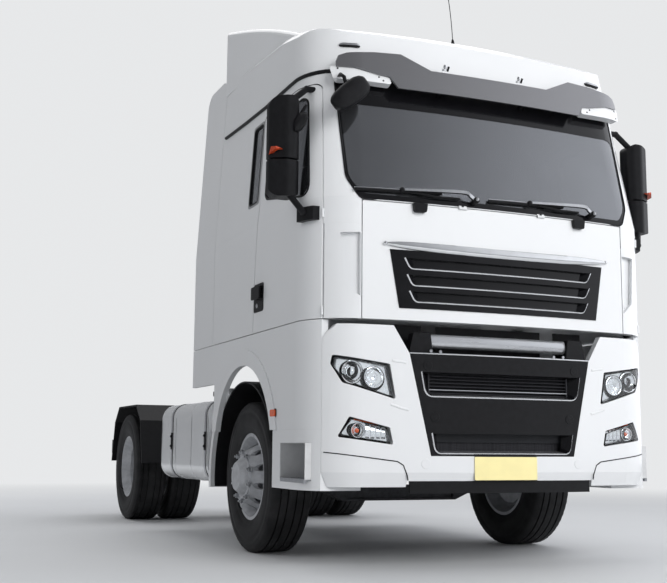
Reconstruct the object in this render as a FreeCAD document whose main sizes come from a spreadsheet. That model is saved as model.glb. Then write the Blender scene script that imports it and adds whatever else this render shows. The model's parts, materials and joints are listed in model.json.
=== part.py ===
import FreeCAD, Part
import math
import os
import re
import Sketcher
from FreeCAD import Rotation, Vector

doc = FreeCAD.newDocument("TractorUnit")

# Driving sizes in millimetres and degrees. Stations are measured rearwards from the front axle,
# heights from the ground and half widths from the middle plane.
sizes = {
    # Whole vehicle
    "wheelbase": 3600, "front_overhang": 1485, "rear_overhang": 1005,
    "seat_gap": 0.3, "panel_gap": 6, "overrun": 400,
    # Cab body
    "cab_half": 1245, "cab_low": 1480, "sill_height": 2222, "roof_seam": 3050, "cab_rear": 650,
    "corner_radius": 331, "front_bow": 8700, "screen_lean": 0.2326, "side_lean": 0.0566,
    "side_wall": 55, "front_wall": 110, "rear_wall": 55, "floor_wall": 60,
    # Windscreen and its frame
    "screen_half": 1042, "screen_low_rise": 10, "screen_top_drop": 14, "screen_corner": 190, "glass_wall": 8,
    # Front flap, corner panels and upper grille
    "flap_half": 955, "flap_top_drop": 18, "flap_wall": 40, "corner_top_drop": 167, "corner_wall": 45,
    "grille_top_half": 776, "grille_low_half": 716,
    "grille_depth": 34, "grille_stand": 5,
    "vent_depth": 30,
    # Doors
    "door_front": -1325, "door_rear": -283, "door_rear_step": -305, "door_rear_mid": -364,
    "door_rear_top": -345, "door_mid_height_rise": 138, "door_top_drop": 50,
    "door_corner": 60, "door_window_low_front_rise": 14, "door_window_low_rear_rise": 156,
    "door_window_front": -1232, "door_window_rear": -470, "door_window_top_drop": 135, "window_corner": 70,
    "quarter_front": -318, "quarter_rear": -132, "quarter_low_rise": 174, "quarter_top_drop": 100,
    # Roof and deflector
    "roof_wall": 40, "roof_nose_rise": 340, "roof_nose_station": -1212, "roof_mid_rise": 505,
    "roof_mid_station": -600, "roof_rear_top_rise": 590, "roof_crown": 46, "roof_shoulder": 150,
    "deflector_start": -760, "deflector_rear": 648, "deflector_top_rise": 948, "deflector_half": 1185,
    "deflector_wall": 30, "deflector_shoulder": 45, "deflector_crown": 8,
    # Sun visor
    "visor_end": 1062, "visor_low_drop": 95, "visor_top_rise": 60, "visor_horn_rise": 152, "visor_wall": 14,
    "visor_stand": 92,
    # Side fairings
    "fairing_rear": 1185, "fairing_low": 1180, "fairing_top_rise": 550, "fairing_wall": 45, "fairing_corner": 120,
    # Wipers and mirrors
    "wiper_reach": 700, "wiper_blade": 760, "wiper_pivot": 600, "wiper_rod": 9,
    "mirror_half": 1350, "mirror_wide": 190, "mirror_low_rise": 16, "mirror_split_rise": 252, "mirror_top_drop": 162,
    "mirror_station": -1130, "mirror_deep": 130, "mirror_arm": 20,
    "front_mirror_half": 1034, "front_mirror_wide": 240, "front_mirror_drop": 190,
    "front_mirror_rise": 130, "front_mirror_tilt": 40, "front_mirror_deep": 110, "front_mirror_station": -1405,
    # Hinges and the cab's tilt pivot
    "hinge_radius": 9, "hinge_pin": 5, "hinge_reach": 54, "door_hinge_low_rise": 20, "door_hinge_high_drop": 127,
    "flap_hinge_place": 260, "flap_hinge_web": 16, "tilt_station": -1300, "tilt_height": 1000,
    "tilt_pin": 20, "tilt_boss": 44, "tilt_arm_wall": 40, "tilt_post": -929, "tilt_knee": 1197,
    "tilt_post_half": 45, "cab_rest_station": 560, "cab_rest_deep": 60,
    # Inside the cab
    "seat_half": 265, "seat_place": 620, "seat_base_rise": 420, "seat_back_top_rise": 1200, "seat_station": -560,
    "seat_deep": 520, "seat_pad": 120, "dash_deep": 330, "dash_top_drop": 22, "dash_low_drop": 372,
    "wheel_rim_radius": 225, "wheel_rim_rod": 15, "bunk_deep": 560, "bunk_low_rise": 470, "bunk_top_rise": 630,
    # Bumper and what it carries
    "bumper_low": 490, "bumper_top": 1446, "bumper_wall": 46, "bumper_end": -1325, "bumper_chin": 575, "chin_inset": 26, "bumper_mid_low": 525,
    "bumper_mid_half": 660, "bumper_corner_in": 1091, "bumper_corner_low": 1272, "valance_low": 452,
    "valance_half": 640, "valance_inset": 14, "valance_wall": 18,
    "mouth_top_half": 750, "mouth_mid_half": 648, "mouth_low_half": 511, "mouth_shoulder": 1280,
    "mouth_low": 672, "lower_grille_wall": 60, "slot_top_half": 575, "slot_top": 1172, "slot_mid": 1022,
    "slot_low_half": 485, "slot_low_top": 806, "slot_low": 684,
    "headlamp_in": 736, "headlamp_out": 1123, "headlamp_top": 1262, "headlamp_low": 1004,
    "fog_in": 752, "fog_out": 1087, "fog_top": 900, "fog_low": 737, "lamp_depth": 60, "lamp_bezel": 20, "lamp_recess": 34, "reflector_wall": 16,
    "bar_half": 490, "bar_low": 1326, "bar_radius": 42, "bar_station": -1392, "bar_bracket": 650,
    # Steps and side panels
    "step_rear": -720, "step_low": 467, "step_top": 825, "step_in": 905, "recess_front": -1270,
    "recess_rear": -860, "recess_low": 523, "recess_top": 745, "recess_deep": 190,
    "skirt_wall": 30, "arch_radius": 620, "flare_radius": 728, "flare_stand": 9,
    # Wheels
    "tyre_radius": 515, "tyre_half": 149, "bead_radius": 286, "flange_radius": 298, "flange_half": 125,
    "flange_lip": 13, "well_radius": 248, "rim_wall": 14, "well_half": 40, "disc_reach": 175,
    "disc_bore": 141, "hand_hole_radius": 23, "hand_hole_circle": 201, "hand_holes": 10,
    "front_track": 1020, "rear_outer_track": 1093, "rear_inner_track": 743,
    "hub_radius": 118, "hub_reach": 232, "rotor_radius": 205, "rotor_wall": 40,
    "spindle_radius": 40, "running_gap": 0.4,
    # Front axle
    "kingpin_half": 850, "kingpin_radius": 24, "axle_boss_radius": 45, "axle_boss_rise": 150,
    "beam_wide": 95, "beam_rise": 110, "beam_drop": 120, "knuckle_wall": 30, "knuckle_arm": 46,
    # Rear axle
    "banjo_radius": 205, "axle_tube": 72, "pinion_reach": 420, "pinion_radius": 95,
    # Frame
    "rail_half": 430, "rail_rise": 280, "rail_top": 1035, "rail_wide": 80, "rail_wall": 10,
    "rail_rear": 4560, "cross_rise": 180, "cross_deep": 70,
    "spring_wide": 90, "spring_wall": 60, "spring_reach": 780,
    "engine_front": -980, "engine_rear": 520, "engine_half": 330, "engine_low": 560, "engine_top": 1400,
    "gearbox_rear": 1420, "gearbox_radius": 235, "gearbox_height": 770, "shaft_radius": 60,
    "radiator_front": -1235, "radiator_deep": 140, "radiator_half": 400, "radiator_low": 620,
    "radiator_top": 1290,
    # Chassis side equipment
    "tank_front": 720, "tank_rear": 2160, "tank_in": 520, "tank_out": 1240, "tank_low": 450,
    "tank_top": 1072, "tank_corner": 120, "box_rear": 1250, "exhaust_front": 1330,
    "fender_radius": 645, "fender_wall": 12, "fender_in": 560, "fender_out": 1205,
    "guard_radius": 600, "guard_wall": 14, "guard_in": 585, "guard_out": 1243, "guard_front_low": 560,
    "deck_wall": 20, "deck_front": 1250, "deck_rear": 2330, "deck_half": 500,
    "stand_station": 1130, "stand_half": 210, "stand_top": 2050, "stand_rod": 24,
    # Fifth wheel
    "fifth_ahead": 520, "fifth_top": 1262, "fifth_half": 460, "fifth_front": 380, "fifth_rear": 470,
    "fifth_wall": 45, "lock_radius": 26, "throat_half": 34, "fifth_pivot_drop": 95, "fifth_pin": 32,
    "fifth_ear_wall": 40, "fifth_ear_half": 395,
    "wiper_left_share": 0.34, "wiper_right_share": 1.15, "wiper_rise": 34,
    "mirror_base_drop": 99, "mirror_top_seat": -1110, "mirror_base_front": -1305, "mirror_base_rear": -1172,
    "mirror_base_rise": 84, "mirror_base_wall": 36, "door_jamb": 1000, "wheel_lean": 25,
    "arch_station": -92, "arch_height": 655, "fender_rear_angle": -8, "fender_front_angle": 148,
    "fender_panel_wall": 50, "fender_panel_deep": 130, "fender_panel_out": 1236, "fender_panel_angle": 62,
    "bumper_beam_station": -1370, "bumper_beam_rise": 60, "disc_fall": 60, "disc_shoulder": 190, "disc_flat": 178,
    "rear_hub_reach": 30,
    # Tail
    "tail_half": 1180, "tail_wide": 430, "tail_low": 640, "tail_top": 780, "tail_deep": 70,
}

sheet = doc.addObject("Spreadsheet::Sheet", "Sizes")
for row, (alias, amount) in enumerate(sizes.items(), start=1):
    sheet.set(f"A{row}", alias)
    sheet.set(f"B{row}", str(amount))
    sheet.setAlias(f"B{row}", alias)
doc.recompute()


class SheetReader:
    def __getattr__(self, alias):
        return float(sheet.get(alias))


size = SheetReader()
aliases = re.compile(r"\b(" + "|".join(sorted(sizes, key=len, reverse=True)) + r")\b")


def bind(item, prop, rule):
    item.setExpression(prop, aliases.sub(r"Sizes.\1", rule))


# Heights that follow the cab's floor, sill and roof seam
screen_low = size.sill_height + size.screen_low_rise
screen_top = size.roof_seam - size.screen_top_drop
flap_top = size.sill_height - size.flap_top_drop
corner_top = size.sill_height - size.corner_top_drop
door_mid_height = size.sill_height + size.door_mid_height_rise
door_top = size.roof_seam - size.door_top_drop
door_window_low_front = size.sill_height + size.door_window_low_front_rise
door_window_low_rear = size.sill_height + size.door_window_low_rear_rise
door_window_top = size.roof_seam - size.door_window_top_drop
quarter_low = size.sill_height + size.quarter_low_rise
quarter_top = size.roof_seam - size.quarter_top_drop
roof_nose = size.roof_seam + size.roof_nose_rise
roof_mid = size.roof_seam + size.roof_mid_rise
roof_rear_top = size.roof_seam + size.roof_rear_top_rise
deflector_top = size.roof_seam + size.deflector_top_rise
visor_low = size.roof_seam - size.visor_low_drop
visor_top = size.roof_seam + size.visor_top_rise
visor_horn = size.roof_seam + size.visor_horn_rise
fairing_top = size.roof_seam + size.fairing_top_rise
mirror_low = size.sill_height + size.mirror_low_rise
mirror_split = size.sill_height + size.mirror_split_rise
mirror_top = size.roof_seam - size.mirror_top_drop
mirror_base = size.sill_height - size.mirror_base_drop
front_mirror_height = size.roof_seam - size.front_mirror_drop
front_mirror_corner_share = 0.7
door_hinge_low = size.cab_low + size.door_hinge_low_rise
door_hinge_high = size.sill_height - size.door_hinge_high_drop
seat_base = size.cab_low + size.seat_base_rise
seat_back_top = size.cab_low + size.seat_back_top_rise
dash_top = size.sill_height - size.dash_top_drop
dash_low = size.sill_height - size.dash_low_drop
bunk_low = size.cab_low + size.bunk_low_rise
bunk_top = size.cab_low + size.bunk_top_rise
front_rise = size.sill_height - size.cab_low
grille_top_share, grille_low_share, door_step_share = 0.5768, 0.097, 0.566
grille_top = size.cab_low + front_rise * grille_top_share
grille_low = size.cab_low + front_rise * grille_low_share
door_step_height = size.cab_low + front_rise * door_step_share


# Row frame: the origin is on the ground below the middle of the whole vehicle
front_axle_rule = "front_overhang - (front_overhang + wheelbase + rear_overhang) / 2"
front_axle = (size.front_overhang - size.wheelbase - size.rear_overhang) / 2
nodes = []


def place(item, station="0"):
    bind(item, "Placement.Base.y", f"{front_axle_rule} + ({station})")


def keep(label, item):
    item.Label = label
    nodes.append(item)
    return item


def keep_shape(label, shape):
    item = doc.addObject("Part::Feature", label)
    item.Shape = shape
    place(item)
    return keep(label, item)


# Geometry helpers
def block(x_low, x_high, y_low, y_high, z_low, z_high):
    return Part.makeBox(x_high - x_low, y_high - y_low, z_high - z_low, Vector(x_low, y_low, z_low))


def rod(start, end, radius):
    run = end - start
    return Part.makeCylinder(radius, run.Length, start, run)


def mirrored(shape):
    return shape.mirror(Vector(0, 0, 0), Vector(1, 0, 0))


def pair(shape):
    return Part.makeCompound([shape, mirrored(shape)])


def fused(shapes):
    return shapes[0].multiFuse(shapes[1:]).removeSplitter() if len(shapes) > 1 else shapes[0]


def rounded_wire(corners, radius):
    """Closed outline whose corners are rounded; radius is one value or one for each corner."""
    count = len(corners)
    radii = radius if isinstance(radius, (list, tuple)) else [radius] * count
    tangents = []
    for index, corner in enumerate(corners):
        back = (corners[index - 1] - corner).normalize()
        ahead = (corners[(index + 1) % count] - corner).normalize()
        half_turn = back.getAngle(ahead) / 2
        if radii[index] <= 0:
            tangents.append((corner, None, corner))
            continue
        reach = radii[index] / math.tan(half_turn)
        bisector = (back + ahead).normalize()
        middle = corner + bisector * (radii[index] / math.sin(half_turn) - radii[index])
        tangents.append((corner + back * reach, middle, corner + ahead * reach))
    edges = []
    for index, (start, middle, end) in enumerate(tangents):
        if middle is not None:
            edges.append(Part.Arc(start, middle, end).toShape())
        onward = tangents[(index + 1) % count][0]
        if end.distanceToPoint(onward) > size.seat_gap / 10:
            edges.append(Part.LineSegment(end, onward).toShape())
    return Part.Wire(edges)


def side_prism(outline, x_from, x_to, radius=0):
    wire = rounded_wire([Vector(x_from, y, z) for y, z in outline], radius)
    return Part.Face(wire).extrude(Vector(x_to - x_from, 0, 0))


def front_prism(outline, y_from, y_to, radius=0):
    wire = rounded_wire([Vector(x, y_from, z) for x, z in outline], radius)
    return Part.Face(wire).extrude(Vector(0, y_to - y_from, 0))


def plan_prism(outline, z_from, z_to, radius=0):
    wire = rounded_wire([Vector(x, y, z_from) for x, y in outline], radius)
    return Part.Face(wire).extrude(Vector(0, 0, z_to - z_from))


def symmetric(half_outline):
    """Outline given for the positive half, closed by its mirror image."""
    return half_outline + [(-x, z) for x, z in reversed(half_outline)]


# Cab form: bowed front, round corners, sides and screen that lean in above the sill
def cab_width(height):
    return size.cab_half - max(0, height - size.sill_height) * size.side_lean


def cab_front(height):
    return -size.front_overhang + max(0, height - size.sill_height) * size.screen_lean


def corner_centre(height, front, width, bow, corner):
    """End of the bowed front and centre of the round corner in plan."""
    flat = (width - corner) / (1 - corner / bow)
    lift = math.sqrt(bow ** 2 - flat ** 2)
    bow_end = Vector(flat, front + bow - lift, height)
    return bow_end, Vector(width - corner, front + bow - (bow - corner) * lift / bow, height)


def side_reach(station, height):
    """Half width of the cab's surface at a station on its round corner or side."""
    centre = corner_centre(height, cab_front(height), cab_width(height), size.front_bow, size.corner_radius)[1]
    back = min(0, station - centre.y)
    return centre.x + math.sqrt(size.corner_radius ** 2 - back ** 2)


def plan_wire(height, front, width, rear, inset):
    bow = size.front_bow - inset
    corner = size.corner_radius - inset
    front = front + inset
    width = width - inset
    bow_end, centre = corner_centre(height, front, width, bow, corner)
    flat, lift = bow_end.x, front + bow - bow_end.y
    bow_end_left = Vector(-flat, bow_end.y, height)
    half = (math.atan2(-lift, flat)) / 2
    middle = centre + Vector(math.cos(half), math.sin(half), 0) * corner
    side = Vector(width, centre.y, height)
    back = Vector(width, rear, height)

    def flip(point):
        return Vector(-point.x, point.y, point.z)

    edges = [
        Part.Arc(bow_end_left, Vector(0, front, height), bow_end).toShape(),
        Part.Arc(bow_end, middle, side).toShape(),
        Part.LineSegment(side, back).toShape(),
        Part.LineSegment(back, flip(back)).toShape(),
        Part.LineSegment(flip(back), flip(side)).toShape(),
        Part.Arc(flip(side), flip(middle), bow_end_left).toShape(),
    ]
    return Part.Wire(edges)


def cab_form(low, high, inset=0, front_inset=None, rear=None, rear_inset=0):
    front_inset = inset if front_inset is None else front_inset
    rear = size.cab_rear if rear is None else rear
    heights = [low] + [size.sill_height] * (low < size.sill_height < high) + [high]
    wires = [plan_wire(height, cab_front(height) + front_inset - inset, cab_width(height),
                       rear - rear_inset, inset) for height in heights]
    return Part.makeLoft(wires, True, True)


def skin(low, high, inset, wall):
    """Outer skin of the cab form between two heights, inset from its surface."""
    return cab_form(low, high, inset).cut(
        cab_form(low - size.overrun, high + size.overrun, inset + wall))


wide = size.cab_half + size.overrun
ahead = -size.front_overhang - size.overrun


def screen_outline(inset):
    half, low, top = size.screen_half - inset, screen_low + inset, screen_top - inset
    low_corner_share, low_rise_share, side_share = 0.925, 0.115, 0.988
    return symmetric([(half * low_corner_share, low), (half * side_share, low + (top - low) * low_rise_share),
                      (half, top)])


def screen_prism(inset):
    low_radius, side_radius = size.window_corner, size.screen_corner
    radii = [low_radius, side_radius, low_radius, low_radius, side_radius, low_radius]
    return front_prism(screen_outline(inset), ahead, size.door_front + size.overrun, radii)


def door_outline(inset):
    gap = inset
    front, low, top = size.door_front + gap, size.cab_low, door_top - gap
    front_top = front + (top - size.sill_height) * size.screen_lean * door_lean_share
    return [(front, low), (front, size.sill_height), (front_top, top), (size.door_rear_top - gap, top),
            (size.door_rear_mid - gap, door_mid_height), (size.door_rear_step - gap, door_step_height),
            (size.door_rear - gap, low)]


door_lean_share = 0.9


def door_prism(inset):
    corner = size.door_corner
    radii = [0, 0, corner, corner, 0, 0, 0]
    return side_prism(door_outline(inset), size.cab_half - size.overrun, wide, radii)


def door_window_outline(inset):
    front, rear = size.door_window_front + inset, size.door_window_rear - inset
    top = door_window_top - inset
    front_top = front + (top - door_window_low_front) * size.screen_lean * door_lean_share
    return [(front, door_window_low_front + inset), (front_top, top), (rear, top),
            (rear, door_window_low_rear + inset)]


def door_window_prism(inset):
    return side_prism(door_window_outline(inset), size.cab_half - size.overrun, wide, size.window_corner)


def quarter_prism(inset):
    slope = (quarter_top - quarter_low) * size.screen_lean / 8
    front, rear = size.quarter_front + inset, size.quarter_rear - inset
    low, top = quarter_low + inset, quarter_top - inset
    outline = [(front, low), (front - slope, top), (rear - slope, top), (rear, low)]
    return side_prism(outline, size.cab_half - size.overrun, wide, size.window_corner / 2)


def side_wall_zone(extra):
    """The cab's wall between the form and its inside, with no floor."""
    return cab_form(size.cab_low, size.roof_seam).cut(
        cab_form(size.cab_low - size.overrun, size.roof_seam + size.overrun, size.side_wall + extra,
                 size.front_wall + extra))


def front_zone(half, low, high):
    return block(-half, half, ahead, size.door_front, low, high)


def hinge(foot, along):
    """Fixed eyes with their pin, the moving eye, and the room that each needs in the other's panel."""
    third = size.hinge_reach / 3
    radius, pin, gap = size.hinge_radius, size.hinge_pin, size.running_gap

    def barrel(start, end, reach):
        return rod(foot + along * start, foot + along * end, reach)

    pin_rod = barrel(0, 3 * third, pin)
    fixed = fused([barrel(0, third, radius), barrel(2 * third, 3 * third, radius), pin_rod])
    moving = barrel(third + gap, 2 * third - gap, radius).cut(barrel(0, 3 * third, pin + gap))
    room_radius = radius + gap * 2
    fixed_room = fused([barrel(-gap, third + gap, room_radius), barrel(2 * third - gap, 3 * third + gap, room_radius)])
    moving_room = barrel(third, 2 * third, room_radius)
    return fixed, moving, fixed_room, moving_room, pin_rod


def door_hinges():
    station = size.door_front + size.panel_gap / 2
    return [hinge(Vector(side_reach(station, low), station, low), Vector(0, 0, 1))
            for low in (door_hinge_low, door_hinge_high)]


def flap_hinges():
    height = flap_top - size.panel_gap
    return [hinge(Vector(start, -size.front_overhang, height), Vector(1, 0, 0))
            for start in (size.flap_hinge_place, -size.flap_hinge_place - size.hinge_reach)]


def flap_hinge_webs():
    """Webs that carry the flap's fixed eyes from the panel above the seam."""
    height, web, third = flap_top - size.panel_gap, size.flap_hinge_web, size.hinge_reach / 3
    webs = []
    for start in (size.flap_hinge_place, -size.flap_hinge_place - size.hinge_reach):
        for low in (start, start + 2 * third):
            webs.append(block(low, low + third, -size.front_overhang, -size.front_overhang + web, height,
                              height + web))
    return webs


def make_cab():
    outer = cab_form(size.cab_low, size.roof_seam)
    inner = cab_form(size.cab_low + size.floor_wall, size.roof_seam + size.overrun, size.side_wall,
                     size.front_wall, None, 0)
    rear_room = block(-wide, wide, size.cab_rear - size.rear_wall, size.cab_rear + size.overrun,
                      size.cab_low, size.roof_seam + size.overrun)
    shell = outer.cut(inner.cut(rear_room))
    flap_zone = skin(size.cab_low - size.overrun, size.sill_height, 0, size.flap_wall + size.panel_gap)
    flap_zone = flap_zone.common(front_zone(size.flap_half, size.cab_low - size.overrun, flap_top))
    corner_zone = skin(size.cab_low - size.overrun, corner_top, 0, size.corner_wall + size.seat_gap)
    corner_zone = corner_zone.common(front_zone(wide, size.cab_low - size.overrun, corner_top))
    corner_zone = corner_zone.cut(block(-size.flap_half, size.flap_half, ahead, 0,
                                        size.cab_low - size.overrun, corner_top))
    shell = shell.cut([flap_zone, corner_zone, screen_prism(0)])
    side_cuts = [side_wall_zone(size.panel_gap).common(door_prism(0)), quarter_prism(0)]
    shell = shell.cut(side_cuts + [mirrored(cut) for cut in side_cuts])
    eyes, rooms, pins = flap_hinge_webs(), [], []
    for fixed, moving, fixed_room, moving_room, pin_rod in door_hinges():
        eyes += [fixed, mirrored(fixed)]
        rooms += [moving_room, mirrored(moving_room)]
        pins += [pin_rod, mirrored(pin_rod)]
    for fixed, moving, fixed_room, moving_room, pin_rod in flap_hinges():
        eyes.append(fixed)
        rooms.append(moving_room)
        pins.append(pin_rod)
    keep_shape("cab_shell", fused([shell.multiFuse(eyes).cut(rooms)] + pins))

    corner = skin(size.cab_low, corner_top - size.seat_gap, 0, size.corner_wall)
    corner = corner.common(block(size.flap_half + size.seat_gap, wide, ahead,
                                 size.door_front - size.panel_gap, size.cab_low, corner_top))
    vent_share = [(0.02, 0.905), (0.42, 0.90), (0.33, 0.36), (0.10, 0.26), (0.02, 0.235)]
    vent_wide = size.cab_half - size.flap_half
    vent_rise = corner_top - size.cab_low
    vent = front_prism([(size.flap_half + across * vent_wide, size.cab_low + up * vent_rise)
                        for across, up in vent_share], ahead, size.door_front, 0)
    vent = vent.cut(cab_form(size.cab_low - size.overrun, corner_top + size.overrun, size.vent_depth))
    corner = corner.cut(vent)
    keep_shape("corner_panels", pair(corner))


def make_glass():
    pane = size.seat_gap
    screen = skin(size.sill_height, size.roof_seam, 0, size.glass_wall).common(screen_prism(pane))
    quarter = skin(size.sill_height, size.roof_seam, size.glass_wall, size.glass_wall)
    quarter = quarter.common(quarter_prism(pane))
    keep_shape("cab_glass", Part.makeCompound([screen, quarter, mirrored(quarter)]))


def make_door(side):
    door = skin(size.cab_low, size.roof_seam, 0, size.side_wall).common(door_prism(size.panel_gap))
    door = door.cut(door_window_prism(0))
    hinges = door_hinges()
    door = door.cut([fixed_room for fixed, moving, fixed_room, moving_room, pin_rod in hinges])
    station = size.door_front + size.panel_gap / 2
    for low in (door_hinge_low, door_hinge_high):
        at = Vector(side_reach(station, low), station, low)
        door = door.cut(rod(at, at + Vector(0, 0, size.hinge_reach), size.hinge_pin + size.running_gap))
    door = fused([door] + [moving for fixed, moving, fixed_room, moving_room, pin_rod in hinges])
    glass = skin(size.sill_height, size.roof_seam, size.glass_wall, size.glass_wall)
    glass = glass.common(door_window_prism(size.seat_gap))
    if side == "right":
        door, glass = mirrored(door), mirrored(glass)
    keep_shape(f"door_{side}", door)
    keep_shape(f"door_glass_{side}", glass)


def make_flap():
    flap = skin(size.cab_low, flap_top - size.panel_gap, 0, size.flap_wall)
    half = size.flap_half - size.panel_gap
    flap = flap.common(front_zone(half, size.cab_low, size.sill_height))
    opening = front_prism(grille_outline(-size.seat_gap), ahead, size.door_front)
    hinges = flap_hinges()
    rooms = [fixed_room for fixed, moving, fixed_room, moving_room, pin_rod in hinges]
    height, clear = flap_top - size.panel_gap, size.hinge_pin + size.running_gap
    bores = [rod(Vector(start, -size.front_overhang, height),
                 Vector(start + size.hinge_reach, -size.front_overhang, height), clear)
             for start in (size.flap_hinge_place, -size.flap_hinge_place - size.hinge_reach)]
    flap = flap.cut([opening] + rooms + bores)
    keep_shape("front_flap", fused([flap] + [moving for fixed, moving, fixed_room, moving_room, pin_rod in hinges]))


def grille_outline(inset):
    return symmetric([(size.grille_low_half - inset, grille_low + inset),
                      (size.grille_top_half - inset, grille_top - inset)])


def make_upper_grille():
    """Plate with three slots whose lower corners sweep up, and a thin plate behind them."""
    depth, rise = size.grille_depth, grille_top - grille_low
    plate = skin(size.cab_low, size.sill_height, -size.grille_stand, depth + size.grille_stand)
    plate = plate.common(front_prism(grille_outline(0), ahead, size.door_front))
    slot_place_shares = [0.105, 0.385, 0.672]
    slot_rise_share, slot_low_share, slot_top_share = 0.19, 0.855, 0.905
    slope = (size.grille_top_half - size.grille_low_half) / rise
    cuts = []
    for share in slot_place_shares:
        low = grille_low + rise * share
        top = low + rise * slot_rise_share
        half = size.grille_low_half + slope * (low - grille_low)
        bend = (top - low) * 0.7
        outline = symmetric([(half * slot_low_share, low), (half * slot_top_share, top)])
        cuts.append(front_prism(outline, ahead, size.door_front, [bend, 0, 0, bend]))
    back = cab_form(size.cab_low, size.sill_height, depth - size.glass_wall)
    slots = fused(cuts).cut(back)
    keep_shape("upper_grille", plate.cut(slots))


# Roof: crowned arch sections along the vehicle, trimmed by the cab form
def arch_wire(station, half, low, top, crown, shoulder):
    flat = half - shoulder
    eave = top - crown - shoulder
    cut_in = shoulder * (1 - math.sqrt(0.5))
    points = [Vector(half, station, low), Vector(half, station, eave),
              Vector(half - cut_in, station, eave + shoulder - cut_in), Vector(flat, station, eave + shoulder),
              Vector(0, station, top)]
    left = [Vector(-point.x, point.y, point.z) for point in points]
    return Part.Wire([
        Part.LineSegment(left[0], points[0]).toShape(), Part.LineSegment(points[0], points[1]).toShape(),
        Part.Arc(points[1], points[2], points[3]).toShape(), Part.Arc(points[3], points[4], left[3]).toShape(),
        Part.Arc(left[3], left[2], left[1]).toShape(), Part.LineSegment(left[1], left[0]).toShape()])


def roof_form(inset, low):
    nose, mid, rear = roof_nose, roof_mid, roof_rear_top
    nose_at, mid_at, rear_at = size.roof_nose_station, size.roof_mid_station, size.cab_rear
    rounding_share = [(-0.5, -1.4), (-0.06, -0.30), (0.04, 0), (0.16, 0.24), (0.36, 0.5), (0.62, 0.76), (1, 1)]
    sections = []
    for along, up in rounding_share:
        station = nose_at + along * (mid_at - nose_at)
        sections.append((station, nose + up * (mid - nose)))
    sections.append((rear_at + inset, rear))
    half = size.cab_half - (size.roof_seam - size.sill_height) * size.side_lean
    wires = [arch_wire(station, half - inset, low, top - inset, size.roof_crown,
                       size.roof_shoulder - inset) for station, top in sections]
    return Part.makeLoft(wires, True, True)


def make_roof():
    seam = size.roof_seam
    tall = deflector_top + size.overrun
    outer = cab_form(seam, tall).common(roof_form(0, seam))
    wall = size.roof_wall
    inner = cab_form(seam - size.overrun, tall, wall, wall, None, size.rear_wall)
    inner = inner.common(roof_form(wall, seam - size.overrun))
    keep_shape("roof", outer.cut(inner))
    return outer


def deflector_form(wall):
    start, rear = size.deflector_start, size.deflector_rear
    low = size.roof_seam + size.overrun
    base = roof_mid
    top = deflector_top
    rise_share = [(0, -0.20, 0.88), (0.25, 0.18, 0.93), (0.6, 0.60, 0.975), (1, 1, 1)]
    wires = []
    for along, up, across in rise_share:
        station = start + along * (rear - start)
        wires.append(arch_wire(station, size.deflector_half * across - wall, low,
                               base + up * (top - base) - wall, size.deflector_crown,
                               size.deflector_shoulder - wall))
    return Part.makeLoft(wires, True, False)


def make_deflector(roof_solid):
    outer = deflector_form(0)
    inner = deflector_form(size.deflector_wall)
    clear = roof_solid.copy()
    clear.translate(Vector(0, 0, size.seat_gap))
    shell = outer.cut(inner).cut([roof_solid, clear])
    parts = sorted(shell.Solids, key=lambda solid: solid.Volume)
    keep_shape("roof_deflector", parts[-1])


def make_visor():
    end, low, top, horn = size.visor_end, visor_low, visor_top, visor_horn
    rise = horn - low
    corner_shares = [(0.64, 0), (0.685, 0.29), (0.755, 0.325), (0.89, 0.455), (1, 0.485), (1, 0.64), (0.985, 0.80),
                     (0.94, 0.875), (0.77, 0.965), (0.60, 1)]
    kink_share, horn_share = 0.41, 0.60
    half = [(0, low)] + [(end * across, low + rise * up) for across, up in corner_shares]
    half += [(end * kink_share, top), (0, top)]
    outline = half + [(-x, z) for x, z in reversed(half[1:-1])]
    stand = size.visor_stand
    shell = cab_form(size.sill_height, deflector_top, -stand).cut(
        cab_form(size.sill_height - size.overrun, deflector_top + size.overrun,
                 size.visor_wall - stand))
    visor = shell.common(front_prism(outline, ahead - stand, 0))
    posts = []
    for place_share in (0.30, 0.86):
        across = end * place_share
        at = (low + top) / 2 + (horn - top) * (place_share > horn_share)
        post = rod(Vector(across, cab_front(at) - stand, at), Vector(across, 0, at), size.mirror_arm)
        post = post.cut(cab_form(size.sill_height, deflector_top, -size.seat_gap))
        post = post.common(cab_form(size.sill_height, deflector_top, size.visor_wall / 2 - stand))
        posts += [post, mirrored(post)]
    keep_shape("sun_visor", fused([visor] + posts))


def make_fairings():
    front, rear = size.cab_rear + size.panel_gap, size.fairing_rear
    low, top = size.cab_low, fairing_top
    outline = [(front, low), (rear, low), (rear, top), (front, top)]
    radii = [0, 0, size.fairing_corner, size.fairing_corner]
    wall = cab_form(low, top, 0, None, rear + size.overrun).cut(
        cab_form(low - size.overrun, top + size.overrun, size.fairing_wall, None, rear + size.overrun * 2))
    fairing = wall.common(side_prism(outline, size.cab_half - size.overrun, wide, radii))
    arms = []
    for share in (0.25, 0.8):
        at = low + (size.roof_seam - low) * share
        arm = rod(Vector(cab_width(at) - size.fairing_wall * 1.5, size.cab_rear - size.mirror_arm, at),
                  Vector(cab_width(at) - size.fairing_wall * 0.6, size.cab_rear + size.fairing_corner * 2, at),
                  size.mirror_arm)
        arms.append(arm.common(block(0, wide, size.cab_rear + size.seat_gap, rear, low, top)))
    keep_shape("side_fairings", pair(fused([fairing] + arms)))


def front_station(across, height):
    """Station of the bowed front at a half width and a height."""
    return cab_front(height) + size.front_bow - math.sqrt(size.front_bow ** 2 - across ** 2)


def rods_along(points, radius):
    """Straight round rods from point to point, joined by knuckles a little thicker than the rods."""
    knuckle_share = 1.12
    solids = []
    for start, end in zip(points, points[1:]):
        solids += [rod(start, end, radius), Part.makeSphere(radius * knuckle_share, end)]
    return fused(solids[:-1])


def rounded_block(bounds, radius):
    solid = block(*bounds)
    return solid.makeFillet(radius, solid.Edges)


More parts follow.
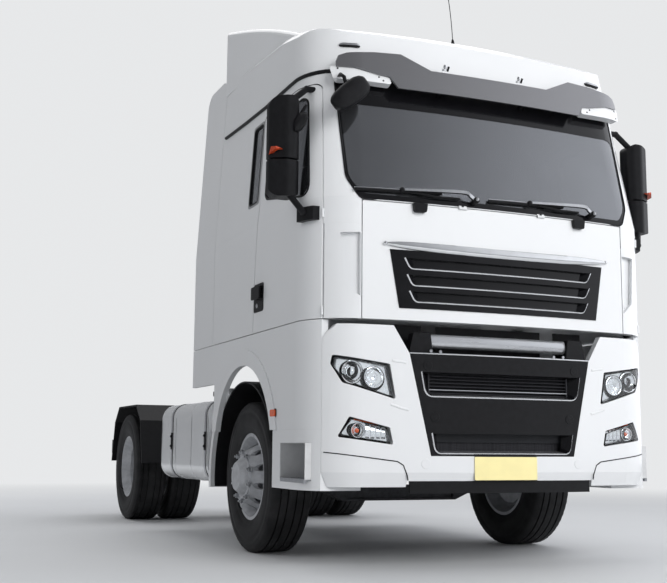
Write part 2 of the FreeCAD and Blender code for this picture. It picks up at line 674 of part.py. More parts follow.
def make_wipers():
    wipers = []
    stand = size.wiper_rod * 2
    for across in (-size.wiper_pivot * size.wiper_left_share, size.wiper_pivot * size.wiper_right_share):
        height = (flap_top + screen_low) / 2
        blade_height = screen_low + size.wiper_rise
        elbow = Vector(across, front_station(across, height) - stand, height)
        seat = Vector(across, front_station(across, height) + size.wiper_rod, height)
        middle = across - size.wiper_reach * 0.62
        joint = Vector(middle, front_station(middle, blade_height) - stand, blade_height)
        blade = []
        for share in (-0.5, 0, 0.5):
            at = middle + size.wiper_blade * share
            rise = blade_height + size.wiper_rise * share * 0.3
            blade.append(Vector(at, front_station(at, rise) - stand * 0.9, rise))
        wiper = fused([rod(seat, elbow, size.wiper_rod * 1.3), rods_along([elbow, joint], size.wiper_rod),
                       rods_along(blade, size.wiper_rod * 0.8)])
        wipers.append(wiper.cut(cab_form(size.cab_low, size.roof_seam, -size.seat_gap)))
    keep_shape("wipers", Part.makeCompound(wipers))


def mirror_head(low, high, top_fall):
    """Housing of a mirror: rounded from the front and bellied ahead, flat at the glass behind."""
    wide_half, deep = size.mirror_wide / 2, size.mirror_deep / 2
    inner, outer = size.mirror_half - wide_half, size.mirror_half + wide_half
    rear, nose = size.mirror_station + deep, size.mirror_station - deep
    bend, lip = wide_half * 0.6, wide_half * 0.12
    front = front_prism([(inner, low), (outer, low), (outer, high - top_fall), (inner, high)], nose, rear,
                        [bend if top_fall == 0 else lip, bend if top_fall == 0 else lip,
                         lip if top_fall == 0 else bend, lip if top_fall == 0 else bend])
    plan = plan_prism([(inner, rear), (inner, nose + lip), (size.mirror_half, nose), (outer, nose + bend),
                       (outer, rear)], low, high, [lip, bend, bend, bend, lip])
    return front.common(plan)


def make_door_mirror(side):
    wide_half, deep = size.mirror_wide / 2, size.mirror_deep / 2
    station, gap = size.mirror_station, size.panel_gap
    low = mirror_head(mirror_low, mirror_split - gap, 0)
    top = mirror_head(mirror_split + gap, mirror_top, wide_half * 0.2)
    spine = size.mirror_half
    arms = [rod(Vector(spine, station, mirror_low + deep), Vector(spine, station, mirror_top - deep),
                size.mirror_arm)]
    base_half = size.mirror_base_rise / 2
    base = cab_form(mirror_base - base_half, mirror_base + base_half, -size.mirror_base_wall)
    base = base.common(block(0, wide, size.mirror_base_front, size.mirror_base_rear, mirror_base - base_half,
                             mirror_base + base_half))
    base_station = (size.mirror_base_front + size.mirror_base_rear) / 2
    for seat_station, seat_height, arm_height in (
            (base_station, mirror_base + size.mirror_arm / 2, mirror_low + deep),
            (size.mirror_top_seat, door_top - size.mirror_arm * 2, mirror_top - deep)):
        reach = side_reach(seat_station, seat_height)
        seat = Vector(reach - size.side_wall / 2, seat_station, seat_height)
        elbow = Vector(reach + size.mirror_arm * 2, seat_station, seat_height)
        arms.append(rods_along([seat, elbow, Vector(spine, station, arm_height)], size.mirror_arm))
    mirror = fused([low, top, base] + arms).cut(
        cab_form(size.cab_low, size.roof_seam, -size.seat_gap))
    keep_shape(f"mirror_{side}", mirrored(mirror) if side == "right" else mirror)


def make_front_mirror():
    half, deep, height = size.front_mirror_half, size.front_mirror_deep / 2, front_mirror_height
    station = size.front_mirror_station
    low, top = height - size.front_mirror_rise / 2, height + size.front_mirror_rise / 2
    near, far = half - size.front_mirror_wide / 2, half + size.front_mirror_wide / 2
    outline = [(near, low), (far, low), (far, top), (near, top)]
    head = front_prism(outline, station - deep, station + deep, deep * front_mirror_corner_share)
    head.rotate(Vector(half, station, height), Vector(0, 1, 0), size.front_mirror_tilt)
    seat_height = (door_top + size.roof_seam) / 2
    seat_across = half + deep * 0.8
    arm = rods_along([Vector(half, station, height), Vector(seat_across, station + deep, seat_height),
                      Vector(seat_across, station + size.overrun, seat_height)], size.mirror_arm)
    arm = arm.cut(cab_form(size.sill_height, size.roof_seam, -size.seat_gap))
    keep_shape("front_mirror", mirrored(fused([head, arm])))


def make_inside():
    floor = size.cab_low + size.floor_wall + size.seat_gap
    inside = cab_form(floor, size.roof_seam, size.side_wall + size.panel_gap * 4, size.front_wall + size.seat_gap)
    dash = inside.common(block(-wide, wide, ahead, -size.front_overhang + size.front_wall + size.dash_deep,
                               dash_low, dash_top))
    dash = dash.cut(block(size.door_jamb, wide, size.door_front - size.side_wall, 0, 0, size.roof_seam))
    dash = dash.cut(block(-wide, -size.door_jamb, size.door_front - size.side_wall, 0, 0, size.roof_seam))
    hub = Vector(size.seat_place, size.seat_station - size.seat_deep * 0.9, dash_top + size.wheel_rim_rod * 4)
    lean = Rotation(Vector(1, 0, 0), size.wheel_lean)
    ring = Part.makeTorus(size.wheel_rim_radius, size.wheel_rim_rod, hub, lean.multVec(Vector(0, 0, 1)))
    spoke = lean.multVec(Vector(0, 1, 0)) * size.wheel_rim_radius
    column = Vector(hub.x, -size.front_overhang + size.front_wall + size.dash_deep / 2, dash_top - size.dash_deep / 2)
    parts = [dash, ring, rod(hub, column, size.wheel_rim_rod * 2), rod(hub - spoke, hub + spoke, size.wheel_rim_rod),
             Part.makeSphere(size.wheel_rim_rod * 3, hub)]
    keep_shape("dashboard", fused(parts))

    half, deep, station, pad = size.seat_half, size.seat_deep, size.seat_station, size.seat_pad
    base = seat_base
    cushion = rounded_block((-half, half, station, station + deep, base, base + pad), pad * 0.3)
    lean_share = 0.28
    back_outline = [(station + deep - pad, base + pad / 2), (station + deep, base),
                    (station + deep * (1 + lean_share), seat_back_top),
                    (station + deep * (1 + lean_share) - pad, seat_back_top)]
    back = side_prism(back_outline, -half, half, [0, 0, pad * 0.4, pad * 0.4])
    foot = block(-half * 0.7, half * 0.7, station + pad, station + deep - pad / 2, floor, base + pad / 2)
    seat = fused([cushion, back, foot])
    right, left = seat.copy(), seat.copy()
    right.translate(Vector(-size.seat_place, 0, 0))
    left.translate(Vector(size.seat_place, 0, 0))
    keep_shape("seats", Part.makeCompound([right, left]))

    rear = size.cab_rear - size.rear_wall - size.seat_gap
    side = cab_width(bunk_top) - size.side_wall - size.panel_gap
    bunk = block(-side, side, rear - size.bunk_deep, rear, bunk_low, bunk_top)
    box = block(-side * 0.9, side * 0.9, rear - size.bunk_deep * 0.9, rear, floor, bunk_low)
    keep_shape("bunk", fused([bunk, box]))


# Front of the chassis
def front_skin(low, high, inset, wall, half_outline):
    """Piece of a shell that follows the bowed front, cut to an outline seen from the front."""
    shell = cab_form(low, high, inset).cut(
        cab_form(low - size.overrun, high + size.overrun, inset + wall))
    return shell.common(front_prism(half_outline, ahead, size.bumper_end))


def mouth_outline(gap):
    slope = (size.mouth_top_half - size.mouth_mid_half) / (size.bumper_top - size.mouth_shoulder)
    return symmetric([(size.mouth_low_half + gap, size.mouth_low - gap),
                      (size.mouth_mid_half + gap, size.mouth_shoulder),
                      (size.mouth_top_half + gap + slope * size.overrun, size.bumper_top + size.overrun)])


def grown(outline, gap):
    """Outline moved outwards by a gap, away from its middle."""
    middle_x = (min(x for x, z in outline) + max(x for x, z in outline)) / 2
    middle_z = (min(z for x, z in outline) + max(z for x, z in outline)) / 2
    return [(x + math.copysign(gap, x - middle_x), z + math.copysign(gap, z - middle_z)) for x, z in outline]


def shared_outline(shares, inner, outer, low, top):
    return [(inner + across * (outer - inner), low + up * (top - low)) for across, up in shares]


headlamp_shares = [(0, 0), (0.842, 0.36), (1, 0.787), (0.977, 1), (0.098, 0.814)]
fog_shares = [(0, 0), (1, 0.264), (0.806, 1), (0.066, 0.62)]
headlamp_bowl_shares = [(0.355, 0.47, 0.29), (0.73, 0.64, 0.215)]
fog_bowl_shares = [(0.70, 0.52, 0.24)]


def lamp_prisms(gap):
    """Head lamp and fog lamp openings, seen from the front."""
    head = shared_outline(headlamp_shares, size.headlamp_in, size.headlamp_out, size.headlamp_low,
                          size.headlamp_top)
    fog = shared_outline(fog_shares, size.fog_in, size.fog_out, size.fog_low, size.fog_top)
    small, large = size.lamp_bezel / 2 + gap, size.lamp_bezel * 1.5 + gap
    return [front_prism(grown(head, gap), ahead, size.bumper_end, [small, large, large, small, small]),
            front_prism(grown(fog, gap), ahead, size.bumper_end, small)]


def bumper_form(extra):
    """Outside of the bumper: the cab form, drawn in below the chin."""
    low, chin = size.bumper_low, size.bumper_chin
    rear = size.cab_rear
    foot = Part.makeLoft([plan_wire(low, cab_front(low), cab_width(low), rear, size.chin_inset + extra),
                          plan_wire(chin, cab_front(chin), cab_width(chin), rear, extra)], True, True)
    return foot.fuse(cab_form(chin, size.bumper_top, extra))


def reflectors(inner, outer, low, top, place_shares):
    """Round reflector bowls that stand on the back plate of a lamp; each place gives x, z and radius."""
    bowls = []
    for across_share, up_share, radius_share in place_shares:
        across, height = inner + across_share * (outer - inner), low + up_share * (top - low)
        radius, wall = radius_share * (top - low), size.reflector_wall
        back = front_station(across, height) + size.lamp_depth - wall
        bowl = Part.makeCylinder(radius, size.lamp_depth - wall * 2, Vector(across, back, height), Vector(0, -1, 0))
        hollow = Part.makeCone(radius * 0.55, radius * 0.94, size.lamp_depth - wall * 2.4,
                               Vector(across, back - wall * 0.4, height), Vector(0, -1, 0))
        bowls.append(bowl.cut(hollow))
    return bowls


def make_bumper():
    low, top = size.bumper_low, size.bumper_top
    bumper = bumper_form(0).cut(cab_form(low - size.overrun, top + size.overrun, size.bumper_wall))
    bumper = bumper.common(block(-wide, wide, ahead, size.bumper_end, low, top))
    over = top + size.overrun
    corner = front_prism([(size.bumper_corner_in, over), (size.bumper_corner_in, top),
                          (size.cab_half, size.bumper_corner_low), (wide, size.bumper_corner_low), (wide, over)],
                         ahead, size.bumper_end)
    middle = front_prism(symmetric([(size.bumper_mid_half + size.bumper_wall, low - size.overrun),
                                    (size.bumper_mid_half, size.bumper_mid_low)]), ahead, size.bumper_end)
    cuts = [front_prism(mouth_outline(0), ahead, size.bumper_end), middle, corner, mirrored(corner)]
    for prism in lamp_prisms(size.seat_gap):
        cuts += [prism, mirrored(prism)]
    keep_shape("bumper", bumper.cut(cuts))

    inset = size.valance_inset
    valance = cab_form(size.valance_low, size.bumper_mid_low - size.seat_gap, inset).cut(
        cab_form(low - size.overrun, top, inset + size.valance_wall))
    keep_shape("front_valance", valance.common(block(-size.valance_half, size.valance_half, ahead, size.bumper_end,
                                                     size.valance_low, top)))

    gap = size.seat_gap
    half_outline = symmetric([(size.mouth_low_half - gap, size.mouth_low + gap),
                              (size.mouth_mid_half - gap, size.mouth_shoulder)])
    grille = front_skin(low, top, size.seat_gap * 4, size.lower_grille_wall, half_outline)
    fall = (size.slot_top_half - size.slot_low_half) / (size.slot_top - size.slot_low)
    bend_share = 0.45
    for slot_top, slot_low in ((size.slot_top, size.slot_mid), (size.slot_low_top, size.slot_low)):
        top_half = size.slot_low_half + fall * (slot_top - size.slot_low)
        low_half = size.slot_low_half + fall * (slot_low - size.slot_low)
        bend = (slot_top - slot_low) * bend_share
        grille = grille.cut(front_prism(symmetric([(low_half, slot_low), (top_half, slot_top)]), ahead,
                                        size.bumper_end, [bend, 0, 0, bend]))
    keep_shape("bumper_grille", grille)

    lamps = []
    for prism, pocket in zip(lamp_prisms(0), lamp_prisms(-size.lamp_bezel)):
        lamp = cab_form(low, top, gap * 4).cut(cab_form(low - size.overrun, top + size.overrun, size.lamp_depth))
        lamp = lamp.common(prism)
        pocket = pocket.cut(cab_form(low - size.overrun, top + size.overrun, size.lamp_recess))
        lamps.append(lamp.cut(pocket))
    lamps[0] = fused([lamps[0]] + reflectors(size.headlamp_in, size.headlamp_out, size.headlamp_low,
                                             size.headlamp_top, headlamp_bowl_shares))
    lamps[1] = fused([lamps[1]] + reflectors(size.fog_in, size.fog_out, size.fog_low, size.fog_top,
                                             fog_bowl_shares))
    keep_shape("front_lamps", Part.makeCompound(lamps + [mirrored(lamp) for lamp in lamps]))

    height = size.bar_low + size.bar_radius
    bar = rod(Vector(-size.bar_half, size.bar_station, height), Vector(size.bar_half, size.bar_station, height),
              size.bar_radius)
    block_half = size.bar_radius * 0.95
    end = block(size.bar_half, size.bar_bracket, size.bar_station - block_half, size.bar_station + block_half,
                size.bar_low, size.bar_low + 2 * size.bar_radius)
    foot = block(size.bar_half + block_half, size.bar_bracket - block_half,
                 size.bar_station - block_half, size.bar_station + block_half,
                 size.mouth_shoulder + size.seat_gap, size.bar_low)
    keep_shape("step_bar", fused([bar, end, mirrored(end), foot, mirrored(foot)]))


def make_steps():
    front = size.bumper_end + size.panel_gap / 2
    step = cab_form(size.step_low, size.step_top).common(
        block(size.step_in, wide, front, size.step_rear, size.step_low, size.step_top))
    recess = block(size.cab_half - size.recess_deep, wide, size.recess_front, size.recess_rear, size.recess_low,
                   size.recess_top)
    rail_front = size.radiator_front + size.radiator_deep
    hanger = block(size.rail_half + size.seat_gap, size.step_in, rail_front + size.cross_deep / 2,
                   rail_front + size.cross_deep * 1.5, size.step_top - size.cross_deep, size.step_top)
    keep_shape("step_boxes", pair(fused([step.cut(recess), hanger])))

    top = size.cab_low - size.panel_gap
    low = size.step_top + size.seat_gap
    arch = size.arch_radius
    panel = cab_form(low, top, 0, None, size.fairing_rear + size.overrun).cut(
        cab_form(low - size.overrun, top + size.overrun, size.skirt_wall, None,
                 size.fairing_rear + size.overrun * 2))
    outline = [(front, low), (size.fairing_rear - size.fairing_corner * 5, low),
               (size.fairing_rear - size.fairing_corner * 5, size.fairing_low),
               (size.fairing_rear, size.fairing_low), (size.fairing_rear, top), (front, top)]
    panel = panel.common(side_prism(outline, size.step_in, wide, 0))
    centre = Vector(size.cab_half - size.skirt_wall / 2, size.arch_station, size.arch_height)
    flare = rod(centre, centre + Vector(size.skirt_wall / 2 + size.flare_stand, 0, 0), size.flare_radius)
    flare = flare.common(side_prism(outline, size.step_in, wide, 0))
    opening = rod(Vector(size.step_in, size.arch_station, size.arch_height),
                  Vector(wide, size.arch_station, size.arch_height), arch)
    keep_shape("side_skirts", pair(fused([panel, flare]).cut(opening)))


def ring_sector(radius, wall, x_low, x_high, angle_from, angle_to, station, height):
    def point(angle, reach):
        turn = math.radians(angle)
        return Vector(x_low, station + reach * math.cos(turn), height + reach * math.sin(turn))

    middle = (angle_from + angle_to) / 2
    outer = radius + wall
    wire = Part.Wire([
        Part.Arc(point(angle_from, radius), point(middle, radius), point(angle_to, radius)).toShape(),
        Part.LineSegment(point(angle_to, radius), point(angle_to, outer)).toShape(),
        Part.Arc(point(angle_to, outer), point(middle, outer), point(angle_from, outer)).toShape(),
        Part.LineSegment(point(angle_from, outer), point(angle_from, radius)).toShape()])
    return Part.Face(wire).extrude(Vector(x_high - x_low, 0, 0))


def make_fenders():
    hub = size.tyre_radius
    liner = ring_sector(size.fender_radius, size.fender_wall, size.fender_in, size.fender_out,
                        size.fender_rear_angle, size.fender_front_angle, 0, hub)
    top = hub + size.fender_radius + size.fender_wall / 2
    half = size.cross_deep / 2
    rise = size.rail_top - size.cross_deep
    bracket = block(size.rail_half + size.seat_gap, size.fender_in + half, -half, half, rise, rise + half)
    riser = block(size.fender_in, size.fender_in + half, -half, half, rise, top)
    keep_shape("front_fenders", pair(fused([liner, bracket, riser])))

    panel = ring_sector(size.fender_radius + size.fender_wall + size.seat_gap, size.fender_panel_wall,
                        size.fender_out - size.fender_panel_deep, size.fender_panel_out, size.fender_rear_angle,
                        size.fender_panel_angle, 0, hub)
    skirt_room = block(size.cab_half - size.skirt_wall - size.seat_gap, wide, -size.arch_radius * 2,
                       size.arch_radius * 2, size.step_top, size.cab_low)
    keep_shape("fender_panels", pair(panel.cut(skirt_room)))


def make_mudguards():
    centre, wall = size.wheelbase, size.guard_wall
    radius = size.guard_radius
    top = size.tyre_radius + radius
    low = size.guard_front_low
    rise_share = 0.72
    knee = low + (top - low) * rise_share
    half = [(radius * 1.17, low), (radius * 0.98, knee), (radius * 0.66, top)]
    outer = [(centre - along, height) for along, height in half] + \
            [(centre + along, height) for along, height in reversed(half)]
    inner_half = [(radius * 1.17 - wall, low), (radius * 0.98 - wall, knee), (radius * 0.66 - wall / 2, top - wall)]
    inner = [(centre - along, height) for along, height in inner_half] + \
            [(centre + along, height) for along, height in reversed(inner_half)]
    guard = side_prism(outer + list(reversed(inner)), size.guard_in, size.guard_out)
    brackets = []
    half_bracket = size.cross_deep / 2
    for share in (-0.5, 0.5):
        at = centre + radius * share
        brackets += [block(size.rail_half + size.seat_gap, size.guard_in + half_bracket, at - half_bracket,
                           at + half_bracket, size.rail_top - size.cross_deep, size.rail_top - half_bracket),
                     block(size.guard_in, size.guard_in + half_bracket, at - half_bracket, at + half_bracket,
                           size.rail_top - size.cross_deep, top - wall / 2)]
    keep_shape("rear_mudguards", pair(fused([guard] + brackets)))


# Chassis pieces as bound primitives
def bound_box(name, at, extent):
    item = doc.addObject("Part::Box", name)
    for prop, rule in zip(("Length", "Width", "Height"), extent):
        bind(item, prop, rule)
    bind(item, "Placement.Base.x", at[0])
    place(item, at[1])
    bind(item, "Placement.Base.z", at[2])
    return item


def bound_cylinder(name, at, radius, reach, axis):
    item = doc.addObject("Part::Cylinder", name)
    bind(item, "Radius", radius)
    bind(item, "Height", reach)
    item.Placement.Rotation = Rotation(Vector(0, 0, 1), axis)
    bind(item, "Placement.Base.x", at[0])
    place(item, at[1])
    bind(item, "Placement.Base.z", at[2])
    return item


def mirrored_object(source):
    item = doc.addObject("Part::Mirroring", f"{source.Name}Mirror")
    item.Source = source
    item.Normal = Vector(1, 0, 0)
    return item


def fuse_objects(label, items):
    item = doc.addObject("Part::MultiFuse", label)
    item.Shapes = items
    return keep(label, item)


def make_frame():
    rail_front = "radiator_front + radiator_deep"
    reach = f"rail_rear - ({rail_front})"
    body = bound_box("RailBody", ("rail_half - rail_wide", rail_front, "rail_top - rail_rise"),
                     ("rail_wide", reach, "rail_rise"))
    channel = bound_box("RailChannel", ("rail_half - rail_wide - overrun", rail_front,
                                        "rail_top - rail_rise + rail_wall"),
                        ("rail_wide + overrun - rail_wall", reach, "rail_rise - 2 * rail_wall"))
    rail = doc.addObject("Part::Cut", "Rail")
    rail.Base, rail.Tool = body, channel
    members = []
    stations = [rail_front, "gearbox_rear + cross_deep", "deck_rear - cross_deep",
                "wheelbase - fifth_ahead - cross_deep / 2", "wheelbase + spring_reach", "rail_rear - cross_deep"]
    heights = ["rail_top - rail_rise + rail_wall", "rail_top - rail_wall - cross_rise / 2",
               "rail_top - rail_wall - cross_rise", "rail_top - rail_wall - cross_rise / 2",
               "rail_top - rail_wall - cross_rise", "rail_top - rail_wall - cross_rise"]
    rises = ["cross_rise", "cross_rise / 2", "cross_rise", "cross_rise / 2", "cross_rise", "cross_rise"]
    for index, (station, height, rise) in enumerate(zip(stations, heights, rises)):
        members.append(bound_box(f"CrossMember{index}", ("rail_wall - rail_half", station, height),
                                 ("2 * rail_half - 2 * rail_wall", "cross_deep", rise)))
    arm = bound_box("BumperArm", ("radiator_half + seat_gap", "bumper_beam_station", "rail_top - rail_rise"),
                    ("rail_half - radiator_half - seat_gap", f"{rail_front} - bumper_beam_station + rail_wall",
                     "rail_rise"))
    bore = bound_cylinder("TiltBore", ("radiator_half", "tilt_station", "tilt_height"), "tilt_pin + running_gap",
                          "rail_half", Vector(1, 0, 0))
    bored = doc.addObject("Part::Cut", "BoredArm")
    bored.Base, bored.Tool = arm, bore
    rest = bound_box("CabRest", ("rail_half - rail_wide", "cab_rest_station", "rail_top - rail_wall"),
                     ("rail_wide", "cab_rest_deep", "cab_low - seat_gap - rail_top + rail_wall"))
    fuse_objects("chassis_frame", [rail, mirrored_object(rail), bored, mirrored_object(bored), rest,
                                   mirrored_object(rest)] + members)


def make_tilt_arms():
    """Arms under the cab floor that carry it on the tilt pins at the front of the frame."""
    inner = size.rail_half + size.panel_gap
    outer = inner + size.tilt_arm_wall
    pivot = Vector(inner, size.tilt_station, size.tilt_height)
    boss, post = size.tilt_boss, size.tilt_post_half
    middle, knee = size.tilt_post, size.tilt_knee
    slope = Vector(0, middle - size.tilt_station, knee - size.tilt_height).normalize()
    across = Vector(0, -slope.z, slope.y) * boss
    low_end = pivot - across
    high_end = pivot + across
    outline = [(low_end.y, low_end.z), (middle + post, knee - post / 2), (middle + post, size.cab_low - size.seat_gap),
               (middle - post, size.cab_low - size.seat_gap), (middle - post, knee + post), (high_end.y, high_end.z)]
    arm = side_prism(outline, inner, outer)
    eye = rod(pivot, pivot + Vector(size.tilt_arm_wall, 0, 0), boss)
    pin = rod(Vector(size.radiator_half + size.panel_gap / 2, pivot.y, pivot.z), pivot + Vector(boss / 2, 0, 0),
              size.tilt_pin)
    keep_shape("cab_tilt_arms", pair(fused([arm, eye, pin])))


def make_bumper_beam():
    inset = size.bumper_wall + size.seat_gap
    low = size.rail_top - size.rail_rise
    rise = size.bumper_beam_rise
    beam = cab_form(low, low + rise, inset).cut(cab_form(low - size.overrun, size.cab_low, inset + rise))
    reach = size.fog_in - size.panel_gap
    beam = beam.common(block(-reach, reach, ahead, size.bumper_end, low, low + rise))
    room = front_prism(mouth_outline(size.panel_gap), ahead, size.bumper_end)
    ends = beam.cut(room)
    back = block(-reach, reach, size.bumper_beam_station - rise / 2,
                 size.bumper_beam_station - size.seat_gap, low, low + rise)
    keep_shape("bumper_beam", fused([ends, back]))


def leaf_spring(across, station, centre_low, end_low, reach, seat):
    half = size.spring_wide / 2
    wall = size.spring_wall

    def point(along, height):
        return Vector(across - half, station + along, height)

    wire = Part.Wire([
        Part.Arc(point(-reach, end_low), point(0, centre_low), point(reach, end_low)).toShape(),
        Part.LineSegment(point(reach, end_low), point(reach, end_low + wall / 2)).toShape(),
        Part.Arc(point(reach, end_low + wall / 2), point(0, centre_low + wall),
                 point(-reach, end_low + wall / 2)).toShape(),
        Part.LineSegment(point(-reach, end_low + wall / 2), point(-reach, end_low)).toShape()])
    leaves = Part.Face(wire).extrude(Vector(size.spring_wide, 0, 0))
    hangers = [block(across - half, across + half, station + sign * reach - wall, station + sign * reach + wall,
                     end_low - wall / 4, seat - size.seat_gap) for sign in (-1, 1)]
    return fused([leaves] + hangers)


def make_axles():
    hub = size.tyre_radius
    rail_low = size.rail_top - size.rail_rise
    across = size.rail_half - size.spring_wide / 2
    beam_low = hub - size.beam_drop - size.beam_rise / 2
    beam_top = beam_low + size.beam_rise
    front = leaf_spring(across, 0, beam_top + size.seat_gap, rail_low - size.spring_wall * 1.6, size.spring_reach,
                        rail_low)
    rear = leaf_spring(across, size.wheelbase, hub + size.axle_tube + size.seat_gap,
                       rail_low - size.spring_wall * 1.4, size.spring_reach * 0.9, rail_low)
    keep_shape("leaf_springs", Part.makeCompound([front, mirrored(front), rear, mirrored(rear)]))

    end = size.kingpin_half
    rise = size.axle_boss_rise / 2
    drop = size.kingpin_half - across - size.spring_wide
    outline = symmetric([(end - drop * 1.05, beam_low), (end - drop * 0.3, hub - rise * 0.7), (end, hub - rise * 0.7),
                         (end, hub + rise * 0.7), (end - drop * 0.4, hub + rise * 0.7),
                         (end - drop * 1.05, beam_top)])
    beam = front_prism(outline, -size.beam_wide / 2, size.beam_wide / 2)
    flute = size.beam_wide * 0.3
    web = symmetric([(end - drop * 1.1, beam_low + flute / 2), (end - drop * 1.1, beam_top - flute / 2)])
    for sign in (-1, 1):
        side = sign * size.beam_wide / 2
        beam = beam.cut(front_prism(web, min(side, side - sign * flute), max(side, side - sign * flute)))
    bosses, bores = [], []
    for sign in (-1, 1):
        foot = Vector(sign * end, 0, hub - rise)
        bosses.append(Part.makeCylinder(size.axle_boss_radius, 2 * rise, foot))
        bores.append(Part.makeCylinder(size.kingpin_radius + size.running_gap, 2 * rise, foot))
    keep_shape("front_axle_beam", fused([beam] + bosses).cut(bores))

    centre = Vector(0, size.wheelbase, hub)
    banjo = Part.makeSphere(size.banjo_radius, centre)
    tube_end = size.rear_inner_track - size.tyre_half
    tube = rod(centre - Vector(tube_end, 0, 0), centre + Vector(tube_end, 0, 0), size.axle_tube)
    stub_end = size.rear_outer_track - size.disc_reach + size.rim_wall * 3
    stub = rod(centre - Vector(stub_end, 0, 0), centre + Vector(stub_end, 0, 0), size.spindle_radius)
    nose = rod(centre, centre - Vector(0, size.pinion_reach, 0), size.pinion_radius)
    keep_shape("rear_axle", fused([banjo, tube, stub, nose]))

    start = Vector(0, size.gearbox_rear + size.seat_gap, size.gearbox_height)
    end_point = centre - Vector(0, size.pinion_reach + size.seat_gap, 0)
    run = (end_point - start).normalize()
    shaft = rod(start, end_point, size.shaft_radius)
    shaft = shaft.common(block(-wide, wide, start.y, end_point.y, 0, size.roof_seam))
    keep_shape("propeller_shaft", shaft)


def make_knuckle(side):
    hub, rise = size.tyre_radius, size.axle_boss_rise / 2
    end, arm, clear = size.kingpin_half, size.knuckle_arm, size.panel_gap
    radius = size.axle_boss_radius
    web_in = end + radius + clear
    web_out = web_in + size.knuckle_wall
    solids = [Part.makeCylinder(size.kingpin_radius, 2 * rise + 2 * clear + 2 * arm,
                                Vector(end, 0, hub - rise - clear - arm)),
              block(web_in, web_out, -radius, radius, hub - rise - clear - arm, hub + rise + clear + arm)]
    for low in (hub - rise - clear - arm, hub + rise + clear):
        solids += [Part.makeCylinder(radius, arm, Vector(end, 0, low)),
                   block(end, web_out, -radius, radius, low, low + arm)]
    solids.append(rod(Vector(web_out, 0, hub), Vector(size.front_track + size.disc_reach + size.rim_wall, 0, hub),
                      size.spindle_radius))
    knuckle = fused(solids)
    keep_shape(f"knuckle_{side}", mirrored(knuckle) if side == "right" else knuckle)


# Turned and drilled pieces as sketch-based bodies, every corner pinned to named sizes
def pinned_sketch(body, role, corners):
    sketch = body.newObject("Sketcher::SketchObject", f"{body.Name}Outline")
    plane = next(item for item in body.Origin.OriginFeatures if item.Role == role)
    sketch.AttachmentSupport = [(plane, "")]
    sketch.MapMode = "FlatFace"
    count = len(corners)
    points = [Vector(*(rule_value(rule) for rule in corner)) for corner in corners]
    for index in range(count):
        sketch.addGeometry(Part.LineSegment(points[index], points[(index + 1) % count]), False)
    for index in range(count):
        sketch.addConstraint(Sketcher.Constraint("Coincident", index, 2, (index + 1) % count, 1))
    for index, (across, up) in enumerate(corners):
        for kind, rule, amount in (("DistanceX", across, points[index].x), ("DistanceY", up, points[index].y)):
            number = sketch.addConstraint(Sketcher.Constraint(kind, -1, 1, index, 1, amount))
            bind(sketch, f"Constraints[{number}]", rule)
    return sketch


def rule_value(rule):
    return float(sheet.evalExpression(aliases.sub(r"Sizes.\1", rule)))


def turned(body, corners, kind="PartDesign::Revolution"):
    sketch = pinned_sketch(body, "XY_Plane", corners)
    turn = body.newObject(kind, f"{body.Name}Turn")
    turn.Profile = sketch
    turn.ReferenceAxis = (sketch, ["H_Axis"])
    turn.Angle = 360
    return turn


def drilled_ring(body, circle_rule, radius_rule, count_rule):
    """Round holes through the whole body on a circle about its turning axis."""
    sketch = body.newObject("Sketcher::SketchObject", f"{body.Name}Hole")
    plane = next(item for item in body.Origin.OriginFeatures if item.Role == "YZ_Plane")
    sketch.AttachmentSupport = [(plane, "")]
    sketch.MapMode = "FlatFace"
    sketch.addGeometry(Part.Circle(Vector(0, rule_value(circle_rule), 0), Vector(0, 0, 1),
                                   rule_value(radius_rule)), False)
    sketch.addConstraint(Sketcher.Constraint("PointOnObject", 0, 3, -2))
    for kind, rule, ends in (("DistanceY", circle_rule, (-1, 1, 0, 3)), ("Radius", radius_rule, (0,))):
        number = sketch.addConstraint(Sketcher.Constraint(kind, *ends, rule_value(rule)))
        bind(sketch, f"Constraints[{number}]", rule)
    doc.recompute()
    before = body.Shape.Volume
    hole = body.newObject("PartDesign::Pocket", f"{body.Name}Pocket")
    hole.Profile = sketch
    hole.Type = "ThroughAll"
    hole.Midplane = True
    doc.recompute()
    if body.Shape.Volume >= before:
        raise RuntimeError(f"the holes of {body.Label} cut nothing")
    ring = body.newObject("PartDesign::PolarPattern", f"{body.Name}Ring")
    ring.Originals = [hole]
    ring.Axis = (next(item for item in body.Origin.OriginFeatures if item.Role == "X_Axis"), [""])
    ring.Angle = 360
    bind(ring, "Occurrences", count_rule)
    body.Tip = ring


def rim_corners(centre, out):
    """Half section of a rim and its disc; centre is the rim's middle, out the way the disc reaches."""
    def at(along, radius):
        return (f"{centre} {'+' if out > 0 else '-'} ({along})", radius)

    half, lip = "flange_half", "flange_lip"
    well, wall = "well_half", "rim_wall"
    return [
        at(f"0 - {half}", "flange_radius"), at(f"{lip} - {half}", "flange_radius"),
        at(f"{lip} - {half}", "bead_radius"), at(f"0 - {well}", "well_radius"), at(well, "well_radius"),
        at(f"{half} - {lip}", "bead_radius"),
        at(f"{half} - {lip}", "flange_radius"), at(half, "flange_radius"),
        at(half, f"bead_radius - {wall} * 0.7"), at(f"{well} * 1.2", f"well_radius - {wall}"),
        at("disc_reach - disc_fall", f"disc_shoulder + {wall}"), at("disc_reach", f"disc_flat - {wall} / 2"),
        at("disc_reach", "disc_bore"), at(f"disc_reach - {wall}", "disc_bore"),
        at(f"disc_reach - {wall}", f"disc_flat - {wall} * 1.5"),
        at(f"disc_reach - disc_fall - {wall} / 2", "disc_shoulder"), at(f"{well} * 0.5", f"well_radius - {wall}"),
        at(f"0 - {well} * 1.2", f"well_radius - {wall}"), at(f"0 - {half}", f"bead_radius - {wall} * 0.7"),
    ]


